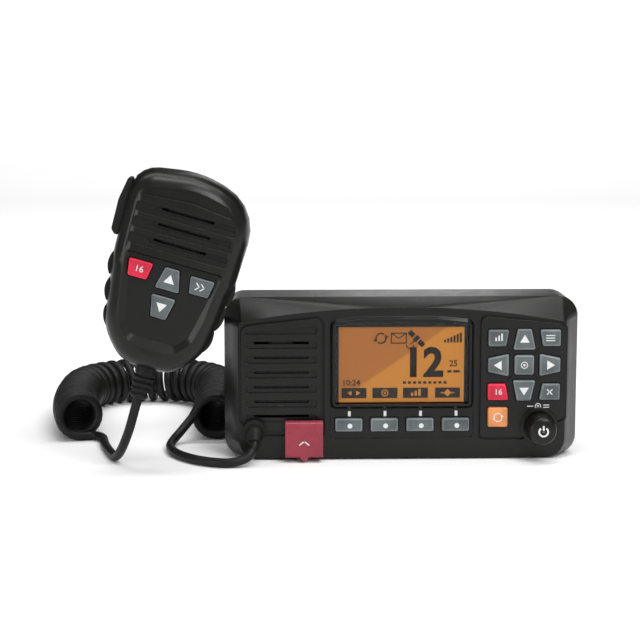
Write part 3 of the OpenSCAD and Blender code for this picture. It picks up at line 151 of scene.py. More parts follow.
class RadioSizes(bpy.types.PropertyGroup):
    """Sizes that belong to the looks alone."""
    edge: length("Edge rounding", "Rounding of the moulded edges", 0.25, 0.05, 1)
    key_edge: length("Key rounding", "Rounding of the key caps' edges", 0.35, 0.05, 0.4)
    cord: length("Cord", "Diameter of the curly cord", 4.7, 4.4, 4.8)
    rings: bpy.props.IntProperty(name="Rings", description="Rings of points in one turn of the cord",
                                 default=24, min=12, max=48)


class StudioSettings(bpy.types.PropertyGroup):
    """Camera and light of the picture."""
    eye: bpy.props.FloatVectorProperty(name="Camera", description="Place of the camera", subtype="TRANSLATION",
                                       size=3, default=(-0.0666, -0.8293, 0.1929))
    target: bpy.props.FloatVectorProperty(name="Aim", description="Point that the camera looks at",
                                          subtype="TRANSLATION", size=3, default=(-0.0421, 0.0, 0.0722))
    lens: bpy.props.FloatProperty(name="Lens", description="Focal length on a 36 mm sensor", default=93.3,
                                  min=20.0, max=200.0)
    floor: colour("Floor", "Colour of the studio floor", "#f6f6f6")
    key_light: bpy.props.FloatProperty(name="Key light", description="Power of the main light", unit="POWER",
                                       default=10.5, min=0.0, max=500.0)


# ---------- tools ----------

def deselect():
    if bpy.context.object and bpy.context.object.mode != "OBJECT":
        bpy.ops.object.mode_set(mode="OBJECT")
    bpy.ops.object.select_all(action="DESELECT")


def pick(obj):
    deselect()
    obj.select_set(True)
    bpy.context.view_layer.objects.active = obj


def edit(obj):
    pick(obj)
    bpy.ops.object.mode_set(mode="EDIT")
    bpy.ops.mesh.select_all(action="SELECT")


def leave():
    bpy.ops.object.mode_set(mode="OBJECT")


def settle(obj):
    """Leaves the object at the origin, with its place in its mesh."""
    pick(obj)
    bpy.ops.object.transform_apply(location=True, rotation=True, scale=True)


def modify(obj, kind, **settings):
    pick(obj)
    bpy.ops.object.modifier_add(type=kind)
    modifier = obj.modifiers[-1]
    for key, value in settings.items():
        setattr(modifier, key, value)
    bpy.ops.object.modifier_apply(modifier=modifier.name)


def soften(obj, edge, tight=False):
    """Rounds the sharp edges a little and shades the rest smoothly."""
    modify(obj, "BEVEL", width=edge, segments=2, limit_method="ANGLE", angle_limit=math.radians(SHARP),
           use_clamp_overlap=tight)
    smooth(obj)


def crease(obj, test):
    """Keeps the edges crisp whose two ends pass a test, given in millimetres."""
    for each in obj.data.edges:
        if all(test(obj.data.vertices[i].co / MM) for i in each.vertices):
            each.use_edge_sharp = True


def smooth(obj, angle=SHARP):
    pick(obj)
    bpy.ops.object.shade_smooth_by_angle(angle=math.radians(angle))
    modify(obj, "WEIGHTED_NORMAL", keep_sharp=True)


def body_of(node):
    return frame["nodes"][node]["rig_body"]


# CAD pieces whose meshes hold edges shorter than the rounding
FINE_MESHES = ("front_bezel", "mic_front_shell", "mic_back_shell", "distress_cover", "chassis", "cord_gland",
               "lcd_frame")


def moulded(node, name, material, edge, crisp=None):
    """A finished piece from a CAD node's own shape, with its edges rounded.

    crisp is a test that picks the shallow edges to keep.
    """
    obj = bpy.data.objects.new(name, frame["nodes"][node].data.copy())
    bpy.context.scene.collection.objects.link(obj)
    edit(obj)
    bpy.ops.mesh.customdata_custom_splitnormals_clear()
    bpy.ops.mesh.remove_doubles(threshold=WELD)
    bpy.ops.mesh.dissolve_limited(angle_limit=FLAT)
    leave()
    if crisp:
        crease(obj, crisp)
    soften(obj, edge, tight=node in FINE_MESHES)
    return dress(obj, material, body_of(node), node)


def dress(obj, material, body, *nodes):
    """Gives a piece its finish, and lets it move with its body and stand for its nodes."""
    obj.data.materials.clear()
    obj.data.materials.append(material)
    for polygon in obj.data.polygons:
        polygon.material_index = 0
    if nodes:
        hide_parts(*nodes)
    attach(obj, body)
    return obj


# ---------- flat signs ----------

def sign_bar(u, v, w, h, angle=0.0):
    bpy.ops.mesh.primitive_plane_add(size=1, location=(u, v, 0), rotation=(0, 0, math.radians(angle)))
    bpy.context.object.scale = (w, h, 1)
    return bpy.context.object


def sign_poly(corners, u, v, r, angle=0.0, stretch=1.0):
    bpy.ops.mesh.primitive_circle_add(vertices=corners, radius=r, fill_type="NGON", location=(u, v, 0),
                                      rotation=(0, 0, math.radians(angle)))
    bpy.context.object.scale = (1, stretch, 1)
    return bpy.context.object


def sign_ring(u, v, r, stroke, gaps=()):
    """A ring; gaps are pairs of degrees, anticlockwise from the right."""
    bpy.ops.mesh.primitive_circle_add(vertices=48, radius=r, fill_type="NGON", location=(u, v, 0))
    obj = bpy.context.object
    edit(obj)
    bpy.ops.mesh.inset(thickness=stroke, depth=0)
    bpy.ops.mesh.delete(type="FACE")
    leave()
    for polygon in obj.data.polygons:
        a = math.degrees(math.atan2(polygon.center.y, polygon.center.x)) % 360
        polygon.select = any(low <= a <= high for low, high in gaps)
    if gaps:
        pick(obj)
        bpy.ops.object.mode_set(mode="EDIT")
        bpy.ops.mesh.delete(type="FACE")
        leave()
    return obj


def sign_text(u, v, size, text, weight=0.02):
    bpy.ops.object.text_add(location=(u, v, 0))
    obj = bpy.context.object
    obj.data.body = text
    obj.data.size = size
    obj.data.offset = weight * size
    obj.data.align_x = "CENTER"
    obj.data.align_y = "CENTER"
    obj.data.resolution_u = 3
    bpy.ops.object.convert(target="MESH")
    return bpy.context.object


SHAPES = {"bar": sign_bar, "poly": sign_poly, "ring": sign_ring, "text": sign_text}


def sign(name, shapes, y, material, body, thick=0.12, mic=False):
    """A printed sign: flat shapes in x and z, with their front at y."""
    made = []
    for kind, *facts in shapes:
        deselect()
        made.append(SHAPES[kind](*facts))
    deselect()
    for obj in made:
        obj.select_set(True)
    bpy.context.view_layer.objects.active = made[0]
    if len(made) > 1:
        bpy.ops.object.join()
    obj = bpy.context.object
    obj.name = name
    settle(obj)
    modify(obj, "SOLIDIFY", thickness=thick, offset=-1.0)
    place = Matrix.Scale(MM, 4) @ Matrix.Translation((0, y, 0))
    if mic:
        place = (Matrix.Scale(MM, 4) @ Matrix.Translation((MIC_X, y, MIC_Z))
                 @ Matrix.Rotation(math.radians(MIC_TILT), 4, "Y"))
    obj.matrix_world = place @ Matrix.Rotation(math.radians(90), 4, "X")
    settle(obj)
    return dress(obj, material, body)


# ---------- finishes ----------

def shader_of(mat):
    return mat.node_tree.nodes["Principled BSDF"]


def new_finish(name, base, rough, metal=0.0, **sockets):
    """A material with one Principled shader; sockets are its other uniform values."""
    mat = bpy.data.materials.new(name)
    mat.use_nodes = True
    shader = shader_of(mat)
    shader.inputs["Base Color"].default_value = (*base, 1)
    shader.inputs["Roughness"].default_value = rough
    shader.inputs["Metallic"].default_value = metal
    for key, value in sockets.items():
        shader.inputs[key.replace("_", " ")].default_value = value
    return mat


def node(mat, kind, **settings):
    made = mat.node_tree.nodes.new(kind)
    for key, value in settings.items():
        setattr(made, key, value)
    return made


def link(mat, out, into):
    mat.node_tree.links.new(out, into)


def place_of(mat):
    found = mat.node_tree.nodes.get("Texture Coordinate") or node(mat, "ShaderNodeTexCoord")
    return found.outputs["Object"]


def noise(mat, scale, detail=3.0, stretch=(1, 1, 1)):
    """Noise in the piece's own space; scale is in waves a metre."""
    lay = node(mat, "ShaderNodeMapping")
    lay.inputs["Scale"].default_value = stretch
    link(mat, place_of(mat), lay.inputs["Vector"])
    made = node(mat, "ShaderNodeTexNoise")
    made.inputs["Scale"].default_value = scale
    made.inputs["Detail"].default_value = detail
    link(mat, lay.outputs["Vector"], made.inputs["Vector"])
    return made.outputs["Fac"]


def cells(mat, scale, feature="F1"):
    made = node(mat, "ShaderNodeTexVoronoi", feature=feature)
    made.inputs["Scale"].default_value = scale
    link(mat, place_of(mat), made.inputs["Vector"])
    return made.outputs["Distance"]


def toned(mat, low, high, scale, start=0.35, end=0.65, detail=3.0, source=None):
    """Colour that drifts between two tones."""
    ramp = node(mat, "ShaderNodeValToRGB")
    ramp.color_ramp.elements[0].position = start
    ramp.color_ramp.elements[0].color = (*low, 1)
    ramp.color_ramp.elements[1].position = end
    ramp.color_ramp.elements[1].color = (*high, 1)
    link(mat, source or noise(mat, scale, detail), ramp.inputs["Fac"])
    link(mat, ramp.outputs["Color"], shader_of(mat).inputs["Base Color"])
    return ramp


def uneven(mat, low, high, scale, detail=4.0, stretch=(1, 1, 1)):
    """Roughness that drifts between two values."""
    span = node(mat, "ShaderNodeMapRange")
    span.inputs["From Min"].default_value = 0.3
    span.inputs["From Max"].default_value = 0.7
    span.inputs["To Min"].default_value = low
    span.inputs["To Max"].default_value = high
    link(mat, noise(mat, scale, detail, stretch), span.inputs["Value"])
    link(mat, span.outputs["Result"], shader_of(mat).inputs["Roughness"])


def grained(mat, source, strength, depth, worn=0.0):
    """Relief from a pattern; its depth and the shaded rounding of the edges are in millimetres."""
    bump = node(mat, "ShaderNodeBump")
    bump.inputs["Strength"].default_value = strength
    bump.inputs["Distance"].default_value = depth * MM
    link(mat, source, bump.inputs["Height"])
    if worn:
        rounded = node(mat, "ShaderNodeBevel", samples=6)
        rounded.inputs["Radius"].default_value = worn * MM
        link(mat, rounded.outputs["Normal"], bump.inputs["Normal"])
    link(mat, bump.outputs["Normal"], shader_of(mat).inputs["Normal"])


def ranged(mat, source, start, end):
    """A smooth step from 0 to 1 between two values."""
    step = node(mat, "ShaderNodeMapRange", interpolation_type="SMOOTHSTEP")
    step.inputs["From Min"].default_value = start
    step.inputs["From Max"].default_value = end
    link(mat, source, step.inputs["Value"])
    return step.outputs["Result"]


def shade(base, factor):
    return tuple(min(1.0, c * factor) for c in base)


def plastic(name, base, low=0.38, high=0.5, grain=0.25, depth=0.03, tone=1.25, worn=0.45):
    """Moulded plastic with a fine spark-eroded grain."""
    mat = new_finish(name, base, low, Specular_IOR_Level=0.25)
    toned(mat, shade(base, 1 / tone), shade(base, tone), 45)
    uneven(mat, low, high, 120)
    grained(mat, noise(mat, 2600, 2), grain, depth, worn)
    return mat


def rubber(name, base, low=0.5, high=0.68, scale=1800, grain=0.3):
    mat = new_finish(name, base, low, Specular_IOR_Level=0.25)
    toned(mat, shade(base, 0.8), shade(base, 1.35), 70)
    uneven(mat, low, high, 160)
    grained(mat, noise(mat, scale, 3), grain, 0.04)
    return mat


def metal(name, base, low, high, stretch=(1, 1, 1), scale=900, grain=0.15, depth=0.02):
    mat = new_finish(name, base, low, 1.0)
    toned(mat, shade(base, 0.85), shade(base, 1.1), 60)
    uneven(mat, low, high, scale, 4, stretch)
    grained(mat, noise(mat, scale, 4, stretch), grain, depth)
    return mat


def make_finishes(colours):
    """All the materials of the radio, by name."""
    f = {}
    f["housing"] = plastic("housing_plastic", tuple(colours.housing), 0.27, 0.33, 0.1, 0.02, 1.15)
    f["gloss"] = plastic("gloss_black_plastic", shade(tuple(colours.housing), 0.7), 0.14, 0.22, 0.05, 0.01, 1.1,
                         worn=0.0)
    f["rubber"] = rubber("black_rubber", tuple(colours.rubber))
    f["cord"] = rubber("cord_rubber", shade(tuple(colours.rubber), 1.15), 0.4, 0.55, 2400, 0.2)
    keys, red_keys = tuple(colours.keys), tuple(colours.red_keys)
    for finish, name, base in (("keys", "key_silicone", keys), ("red_keys", "red_silicone", red_keys),
                               # Lighter copies of the key finishes: painted highlights for the caps' rounded
                               # rims
                               ("key_rims", "key_rim_silicone", shade(keys, 1.7)),
                               ("red_rim_highlights", "red_rim_highlight_silicone", shade(red_keys, 1.5))):
        f[finish] = rubber(name, base, 0.34, 0.46, 2200, 0.2)
    f["call_key"] = rubber("orange_silicone", tuple(colours.call_key), 0.42, 0.56, 2200, 0.2)
    f["cover"] = plastic("red_cover_plastic", tuple(colours.cover), 0.22, 0.34, 0.08, 0.02, 1.15)
    f["casting"] = plastic("painted_casting", tuple(colours.casting), 0.5, 0.66, 0.5, 0.08)
    f["legends"] = new_finish("legend_paint", tuple(colours.legends), 0.5)
    toned(f["legends"], shade(tuple(colours.legends), 0.88), tuple(colours.legends), 900)
    grained(f["legends"], noise(f["legends"], 3000, 2), 0.15, 0.02)
    f["ink"] = new_finish("display_ink", tuple(colours.ink), 0.6)
    toned(f["ink"], shade(tuple(colours.ink), 0.7), shade(tuple(colours.ink), 1.4), 300)
    f["steel"] = metal("stainless_steel", tint("#a3a5a6"), 0.26, 0.42, (1, 1, 12))
    f["zinc"] = metal("zinc_plating", tint("#8e9092"), 0.32, 0.5)
    f["nickel"] = metal("nickel_plating", tint("#b4b0a6"), 0.18, 0.32, (8, 1, 8))
    f["brass"] = metal("brass", tint("#b08d4c"), 0.24, 0.4)
    f["lcd"] = backlit_with_painted_reflection(colours)
    f["glass"] = clear_window()
    f["board"] = circuit_board()
    f["ribbon"] = ribbon()
    f["mesh"] = sound_mesh()
    f["cone"] = paper_cone()
    return f


# The slanting edge of a painted reflection on the display: the direction across it, and where along that the
# painted dimming starts and ends
REFLECTION_SLANT = (-0.565, 0, 0.825)
REFLECTION_EDGE_FROM, REFLECTION_EDGE_TO = 42.4, 44.4


def backlit_with_painted_reflection(colours):
    """The lit display: amber, with a painted reflection that leaves it dimmer beyond a slanting line."""
    mat = new_finish("amber_display", tuple(colours.backlight), 0.35, Emission_Strength=0.3)
    across_reflection_edge = node(mat, "ShaderNodeVectorMath", operation="DOT_PRODUCT")
    across_reflection_edge.inputs[1].default_value = REFLECTION_SLANT
    link(mat, place_of(mat), across_reflection_edge.inputs[0])
    # Which side of the painted reflection's slanting edge a point lies on
    side = node(mat, "ShaderNodeMapRange")
    side.inputs["From Min"].default_value = REFLECTION_EDGE_FROM * MM
    side.inputs["From Max"].default_value = REFLECTION_EDGE_TO * MM
    link(mat, across_reflection_edge.outputs["Value"], side.inputs["Value"])
    ramp = toned(mat, tuple(colours.backlight), tuple(colours.backlight_reflection_dark_side), 1, 0.2, 0.8,
                 source=side.outputs["Result"])
    link(mat, ramp.outputs["Color"], shader_of(mat).inputs["Emission Color"])
    return mat


def clear_window():
    """Clear plastic: it lets light straight through and reflects at its surface."""
    mat = bpy.data.materials.new("clear_window")
    mat.use_nodes = True
    nodes = mat.node_tree.nodes
    nodes.remove(nodes["Principled BSDF"])
    clear = node(mat, "ShaderNodeBsdfTransparent")
    clear.inputs["Color"].default_value = (0.93, 0.93, 0.93, 1)
    gloss = node(mat, "ShaderNodeBsdfGlossy")
    gloss.inputs["Roughness"].default_value = 0.06
    fresnel = node(mat, "ShaderNodeFresnel")
    fresnel.inputs["IOR"].default_value = 1.2
    mix = node(mat, "ShaderNodeMixShader")
    link(mat, fresnel.outputs["Fac"], mix.inputs["Fac"])
    link(mat, clear.outputs["BSDF"], mix.inputs[1])
    link(mat, gloss.outputs["BSDF"], mix.inputs[2])
    link(mat, mix.outputs["Shader"], nodes["Material Output"].inputs["Surface"])
    return mat


def circuit_board():
    mat = new_finish("circuit_board", tint("#2d5a3c"), 0.4)
    toned(mat, tint("#1f4a30"), tint("#3a6a48"), 500, source=cells(mat, 420))
    grained(mat, cells(mat, 420), 0.3, 0.1)
    return mat


def ribbon():
    mat = new_finish("ribbon_cable", tint("#c9c4b4"), 0.5)
    toned(mat, tint("#b9b4a4"), tint("#d4cfbf"), 800, source=noise(mat, 30, 0, (40, 1, 1)))
    grained(mat, noise(mat, 30, 0, (40, 1, 1)), 0.4, 0.1)
    return mat


def sound_mesh():
    mat = new_finish("sound_mesh", tint("#141414"), 0.6)
    toned(mat, tint("#060606"), tint("#2a2a2a"), 1, 0.2, 0.5, source=cells(mat, 1400))
    grained(mat, cells(mat, 1400), 0.6, 0.1)
    return mat


def paper_cone():
    mat = new_finish("paper_cone", tint("#3a3a38"), 0.8)
    toned(mat, tint("#2e2e2c"), tint("#464644"), 400)
    grained(mat, noise(mat, 900, 4), 0.4, 0.1)
    return mat


FINISHES = {}


def finishes():
    if not FINISHES:
        FINISHES.update(make_finishes(bpy.context.scene.radio_colours))
    return FINISHES


def coat(finish, *nodes):
    """A better finish on CAD nodes that stay as they are."""
    for name in nodes:
        data = frame["nodes"][name].data
        data.materials.clear()
        data.materials.append(finishes()[finish])
        for polygon in data.polygons:
            polygon.material_index = 0


# ---------- route of the cord ----------

CORD_R = 2.35
CORD_SIDES = 14
CURL_R = 10.65
COIL_Z = 13.0
RIGHT_X, BEND_R = -97.0, 40.0
LEFT_X = RIGHT_X - 2 * BEND_R
BEND_Y, SPLAY_Y, COIL_END_Y = 122.0, 110.0, 46.0
CURL_STEP, CURL_STEP_BEND = 5.4, 7.2
CURL_FIRST, CURL_LAST = -90.0, 150.0
# The curly part starts this far aside of its left line, at this y, and bends into that line
START_ASIDE, START_Y = 7.0, 50.0
SPLAY_R = (START_ASIDE ** 2 + (SPLAY_Y - START_Y) ** 2) / (2 * START_ASIDE)
SPLAY_ANGLE = math.asin((SPLAY_Y - START_Y) / SPLAY_R)
SPLAY_LEN = SPLAY_R * SPLAY_ANGLE
LEFT_LEN = SPLAY_LEN + BEND_Y - SPLAY_Y
BEND_LEN = math.pi * BEND_R
RIGHT_LEN = BEND_Y - COIL_END_Y
LEFT_CURLS = LEFT_LEN / CURL_STEP
BEND_CURLS = BEND_LEN / CURL_STEP_BEND
PART_CURL = (CURL_LAST - CURL_FIRST) / 360
CURLS = math.floor(LEFT_CURLS + BEND_CURLS + RIGHT_LEN / CURL_STEP - PART_CURL) + PART_CURL
# The gland leans by 45 degrees, so it reaches as far forward as down
GLAND_REACH = 5.4 * math.sqrt(0.5)
GLAND_END = Vector((-75.5, -3.4 - GLAND_REACH, 14.4 - GLAND_REACH))
GLAND_WAY = Vector((0, -math.sqrt(0.5), -math.sqrt(0.5)))
BOOT_V = -66.0
BOOT_END = Vector((MIC_X + BOOT_V * math.sin(TILT), MIC_SPLIT_Y, MIC_Z + BOOT_V * math.cos(TILT)))
BOOT_WAY = Vector((-math.sin(TILT), 0, -math.cos(TILT)))
MIC_ROUTE = [
    (-137, -18.5, 22), (-139.5, -15, 15), (-142, -10.5, 9), (-144.6, -5, 4.4), (-147, 1, CORD_R),
    (-149.5, 9, CORD_R), (-152.4, 20, CORD_R), (-154.8, 31, CORD_R), (-156, 38, CORD_R),
    (-157, 44.2, CORD_R), (-158.8, 48, CORD_R), (-161, 50.2, CORD_R),
]
RADIO_ROUTE = [
    (-77, -12.5, 6.6), (-80, -14.5, 4.2), (-86, -16, 2.6), (-94, -15, CORD_R), (-103.5, -9.5, CORD_R),
    (-111.5, -0.5, CORD_R), (-117, 10, CORD_R), (-119.6, 21, CORD_R), (-119.8, 30, CORD_R),
    (-118.4, 37, 3.4), (-115.4, 41.6, 6.2),
]


def spine(s):
    """Middle line of the curly part at distance s: x, y and heading."""
    if s < SPLAY_LEN:
        a = SPLAY_ANGLE * (1 - s / SPLAY_LEN)
        return LEFT_X + SPLAY_R * (1 - math.cos(a)), SPLAY_Y - SPLAY_R * math.sin(a), math.pi / 2 + a
    if s < LEFT_LEN:
        return LEFT_X, SPLAY_Y + s - SPLAY_LEN, math.pi / 2
    if s < LEFT_LEN + BEND_LEN:
        a = math.pi * (s - LEFT_LEN) / BEND_LEN
        return LEFT_X + BEND_R * (1 - math.cos(a)), BEND_Y + BEND_R * math.sin(a), math.pi / 2 - a
    return RIGHT_X, BEND_Y - (s - LEFT_LEN - BEND_LEN), -math.pi / 2


def along(t):
    """Distance along the middle line at curl t."""
    if t < LEFT_CURLS:
        return t * CURL_STEP
    if t < LEFT_CURLS + BEND_CURLS:
        return LEFT_LEN + (t - LEFT_CURLS) * CURL_STEP_BEND
    return LEFT_LEN + BEND_LEN + (t - LEFT_CURLS - BEND_CURLS) * CURL_STEP


def curl_point(t):
    x, y, heading = spine(along(t))
    a = math.radians(CURL_FIRST + 360 * t)
    out = Vector((-math.sin(heading) * math.cos(a), math.cos(heading) * math.cos(a), math.sin(a)))
    return Vector((x, y, COIL_Z)) + CURL_R * out


def curl_way(t):
    return (curl_point(t + 0.01) - curl_point(t - 0.01)).normalized()


def eased(points, steps=6):
    """A smooth line (Catmull-Rom) through all but the end points, with a few steps between each two."""
    line = []
    for i in range(1, len(points) - 2):
        a, b, c, d = points[i - 1:i + 3]
        for k in range(steps):
            u = k / steps
            p = 0.5 * (2 * b + (c - a) * u + (2 * a - 5 * b + 4 * c - d) * u * u
                       + (3 * b - a - 3 * c + d) * u ** 3)
            line.append(Vector((p.x, p.y, max(p.z, CORD_R))))
    return line


def cord_path(rings):
    """Centre line of the whole cord, from the radio's gland to the microphone's boot."""
    d = 2 * CORD_R
    coil_out = curl_point(CURLS) + d * curl_way(CURLS)
    coil_in = curl_point(0) - d * curl_way(0)
    count = round(CURLS * rings)
    coil = [curl_point(CURLS * (1 - i / count)) for i in range(count + 1)]
    first = ([GLAND_END - 4 * GLAND_WAY, GLAND_END - 2 * GLAND_WAY, GLAND_END, GLAND_END + 3 * GLAND_WAY]
             + [Vector(p) for p in RADIO_ROUTE] + [coil_out + 2 * curl_way(CURLS), coil_out, coil[0], coil[1]])
    last = ([coil[-2], coil[-1], coil_in, coil_in - 2 * curl_way(0)] + [Vector(p) for p in reversed(MIC_ROUTE)]
            + [BOOT_END + 5 * BOOT_WAY, BOOT_END, BOOT_END - 3 * BOOT_WAY, BOOT_END - 5 * BOOT_WAY])
    path = eased(first) + coil[:-1] + eased(last)
    return [p * MM for p in path]


def tube(name, path, r, sides):
    """A closed round tube along a path, its rings carried along without twisting."""
    points, faces = [], []
    out = Vector((1, 0, 0))
    for i, p in enumerate(path):
        way = (path[min(i + 1, len(path) - 1)] - path[max(i - 1, 0)]).normalized()
        out = (out - way * out.dot(way)).normalized()
        side = way.cross(out)
        for k in range(sides):
            a = 2 * math.pi * k / sides
            points.append(p + r * (math.cos(a) * out + math.sin(a) * side))
    for i in range(len(path) - 1):
        for k in range(sides):
            a, b = i * sides + k, i * sides + (k + 1) % sides
            faces.append((a, b, b + sides, a + sides))
    faces.append(tuple(reversed(range(sides))))
    faces.append(tuple(range((len(path) - 1) * sides, len(path) * sides)))
    data = bpy.data.meshes.new(name)
    data.from_pydata([tuple(p) for p in points], [], faces)
    obj = bpy.data.objects.new(name, data)
    bpy.context.scene.collection.objects.link(obj)
    pick(obj)
    bpy.ops.object.shade_smooth()
    return obj


# ---------- operators ----------

class RADIO_OT_camera(bpy.types.Operator):
    """Sets the camera at the picture's viewing angle"""
    bl_idname = "radio.camera"
    bl_label = "Camera"

    def execute(self, context):
        studio = context.scene.radio_studio
        deselect()
        way = Vector(studio.target) - Vector(studio.eye)
        bpy.ops.object.camera_add(location=studio.eye, rotation=way.to_track_quat("-Z", "Y").to_euler())
        camera = context.object
        camera.name = "studio_camera"
        camera.data.lens = studio.lens
        camera.data.sensor_width = 36.0
        context.scene.camera = camera
        context.scene.view_settings.view_transform = "Standard"
        return {"FINISHED"}


class RADIO_OT_cord(bpy.types.Operator):
    """Lays the curly cord from the radio's gland to the microphone's boot"""
    bl_idname = "radio.cord"
    bl_label = "Curly cord"

    def execute(self, context):
        sizes = context.scene.radio_sizes
        path = cord_path(sizes.rings)
        cord = tube("curly_cord", path, sizes.cord / 2, CORD_SIDES)
        cord.data.materials.append(finishes()["cord"])
        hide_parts("cord_lead_mic", "cord_coil", "cord_lead_radio")
        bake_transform(cord)
        return {"FINISHED"}


class RADIO_OT_housing(bpy.types.Operator):
    """Makes the front housing, the trim frame and the cord's gland"""
    bl_idname = "radio.housing"
    bl_label = "Front housing"

    def execute(self, context):
        edge = context.scene.radio_sizes.edge
        f = finishes()
        moulded("front_bezel", "front_housing", f["housing"], edge)
        moulded("lcd_frame", "trim_frame", f["gloss"], edge)
        moulded("cord_gland", "rubber_gland", f["rubber"], edge)
        moulded("front_gasket", "rim_gasket", f["rubber"], edge / 3)
        # A flat dark mark: painted shade standing in for the dark inside of the drain hole
        sign("drain_hole_painted_shade", [("bar", -62.2, 28.2, 3.2, 0.8)], 1.14, f["ink"], "radio", thick=0.05)
        coat("rubber", "keypad_sheet")
        coat("housing", "gland_nut")
        coat("mesh", "speaker_mesh")
        coat("cone", "speaker_cone")
        coat("zinc", "speaker_frame")
        coat("board", "front_board")
        return {"FINISHED"}


def lit_bars(u, v, widths, h, pitch):
    """A row of upright bars of rising height."""
    return [("bar", u + i * pitch, v + h * (i + 2) / (len(widths) + 1) / 2, w, h * (i + 2) / (len(widths) + 1))
            for i, w in enumerate(widths)]


class RADIO_OT_display(bpy.types.Operator):
    """Makes the display, its window and the signs that it shows"""
    bl_idname = "radio.display"
    bl_label = "Display"

    def execute(self, context):
        f = finishes()
        moulded("display_window", "display_glass", f["glass"], WINDOW_EDGE)
        coat("lcd", "lcd_module")
        mask = [("bar", -0.4, 70.3, 69.0, 4.2), ("bar", -0.4, 28.9, 69.0, 1.0),
                ("bar", -33.6, 48.8, 2.2, 39.4), ("bar", 32.7, 48.8, 2.6, 39.4)]
        sign("display_mask", mask, 1.56, f["gloss"], "radio", thick=0.1)
        shapes = [("ring", -11.1, 62.4, 2.9, 0.75, ((20, 50), (200, 230))),
                  ("poly", 3, -8.4, 63.3, 1.3, 150), ("poly", 3, -13.8, 61.5, 1.3, -30),
                  ("bar", -2.0, 65.0, 8.2, 0.6), ("bar", -2.0, 59.9, 8.2, 0.6),
                  ("bar", -5.8, 62.4, 0.6, 5.6), ("bar", 1.8, 62.4, 0.6, 5.6),
                  ("bar", -3.95, 63.7, 4.6, 0.55, -35), ("bar", -0.05, 63.7, 4.6, 0.55, 35),
                  ("bar", 7.0, 62.2, 2.2, 3.4, -45), ("bar", 4.5, 64.7, 3.4, 2.6, -45),
                  ("bar", 9.5, 59.7, 3.4, 2.6, -45), ("bar", 4.9, 60.1, 2.4, 0.6, 45),
                  ("ring", 3.8, 59.0, 2.2, 0.6, ((0, 180),))]
        shapes += lit_bars(21.6, 60.1, [1.1] * 6, 5.1, 1.6)
        shapes += [("text", 10.6, 49.2, 20.5, "12", 0.035), ("text", 26.0, 49.2, 4.4, "25"),
                   ("bar", 24.0, 45.2, 2.2, 1.2), ("bar", 27.6, 45.2, 3.4, 1.2),
                   ("text", -26.2, 39.4, 4.2, "10:24")]
        shapes += [("bar", 1.0 + 2.6 * i, 39.5, 1.6, 1.3) for i in range(9)]
        shapes += [("bar", u, 34.2, 12.8, 5.3) for u in (-24.7, -8.9, 6.7, 23.1)]
        sign("display_signs", shapes, 1.64, f["ink"], "radio", thick=0.05)
        labels = [("poly", 3, -26.7, 34.2, 1.5, 90), ("poly", 3, -22.9, 34.2, 1.5, -90),
                  ("ring", -8.9, 34.2, 1.8, 0.5), ("bar", -8.9, 34.2, 1.0, 1.0),
                  ("bar", 5.0, 33.4, 1.2, 1.6), ("bar", 6.9, 33.9, 1.2, 2.6), ("bar", 8.8, 34.4, 1.2, 3.6),
                  ("poly", 4, 23.1, 34.2, 2.0), ("bar", 23.1, 34.2, 7.0, 0.5)]
        sign("display_labels", labels, 1.6, f["lcd"], "radio", thick=0.04)
        return {"FINISHED"}


def turning_arrows(u, v, r, stroke):
    return [("ring", u, v, r, stroke, ((15, 45), (195, 225))),
            ("poly", 3, u + r * 0.87, v + r * 0.3, r * 0.42, 150),
            ("poly", 3, u - r * 0.87, v - r * 0.3, r * 0.42, -30)]


def arrow(u, v, angle, r=2.8):
    return [("poly", 3, u, v, r, angle, 0.95)]


# Lighter finishes that paint highlights on the caps' rounded front edges, and the slope along -Y that marks
# such an edge
PAINTED_RIM_HIGHLIGHTS = {"keys": "key_rims", "red_keys": "red_rim_highlights"}
HIGHLIGHT_RIM_SLOPE = (-0.97, -0.2)


def cap(key, name, paint, edge):
    """A key's cap, with painted highlights on its rims where its finish has them."""
    f = finishes()
    obj = moulded(key, name, f[paint], edge)
    if paint not in PAINTED_RIM_HIGHLIGHTS:
        return
    obj.data.materials.append(f[PAINTED_RIM_HIGHLIGHTS[paint]])
    # Faces of the rounded rim get the lighter finish, a painted highlight
    for polygon in obj.data.polygons:
        if HIGHLIGHT_RIM_SLOPE[0] < polygon.normal.y < HIGHLIGHT_RIM_SLOPE[1]:
            polygon.material_index = 1


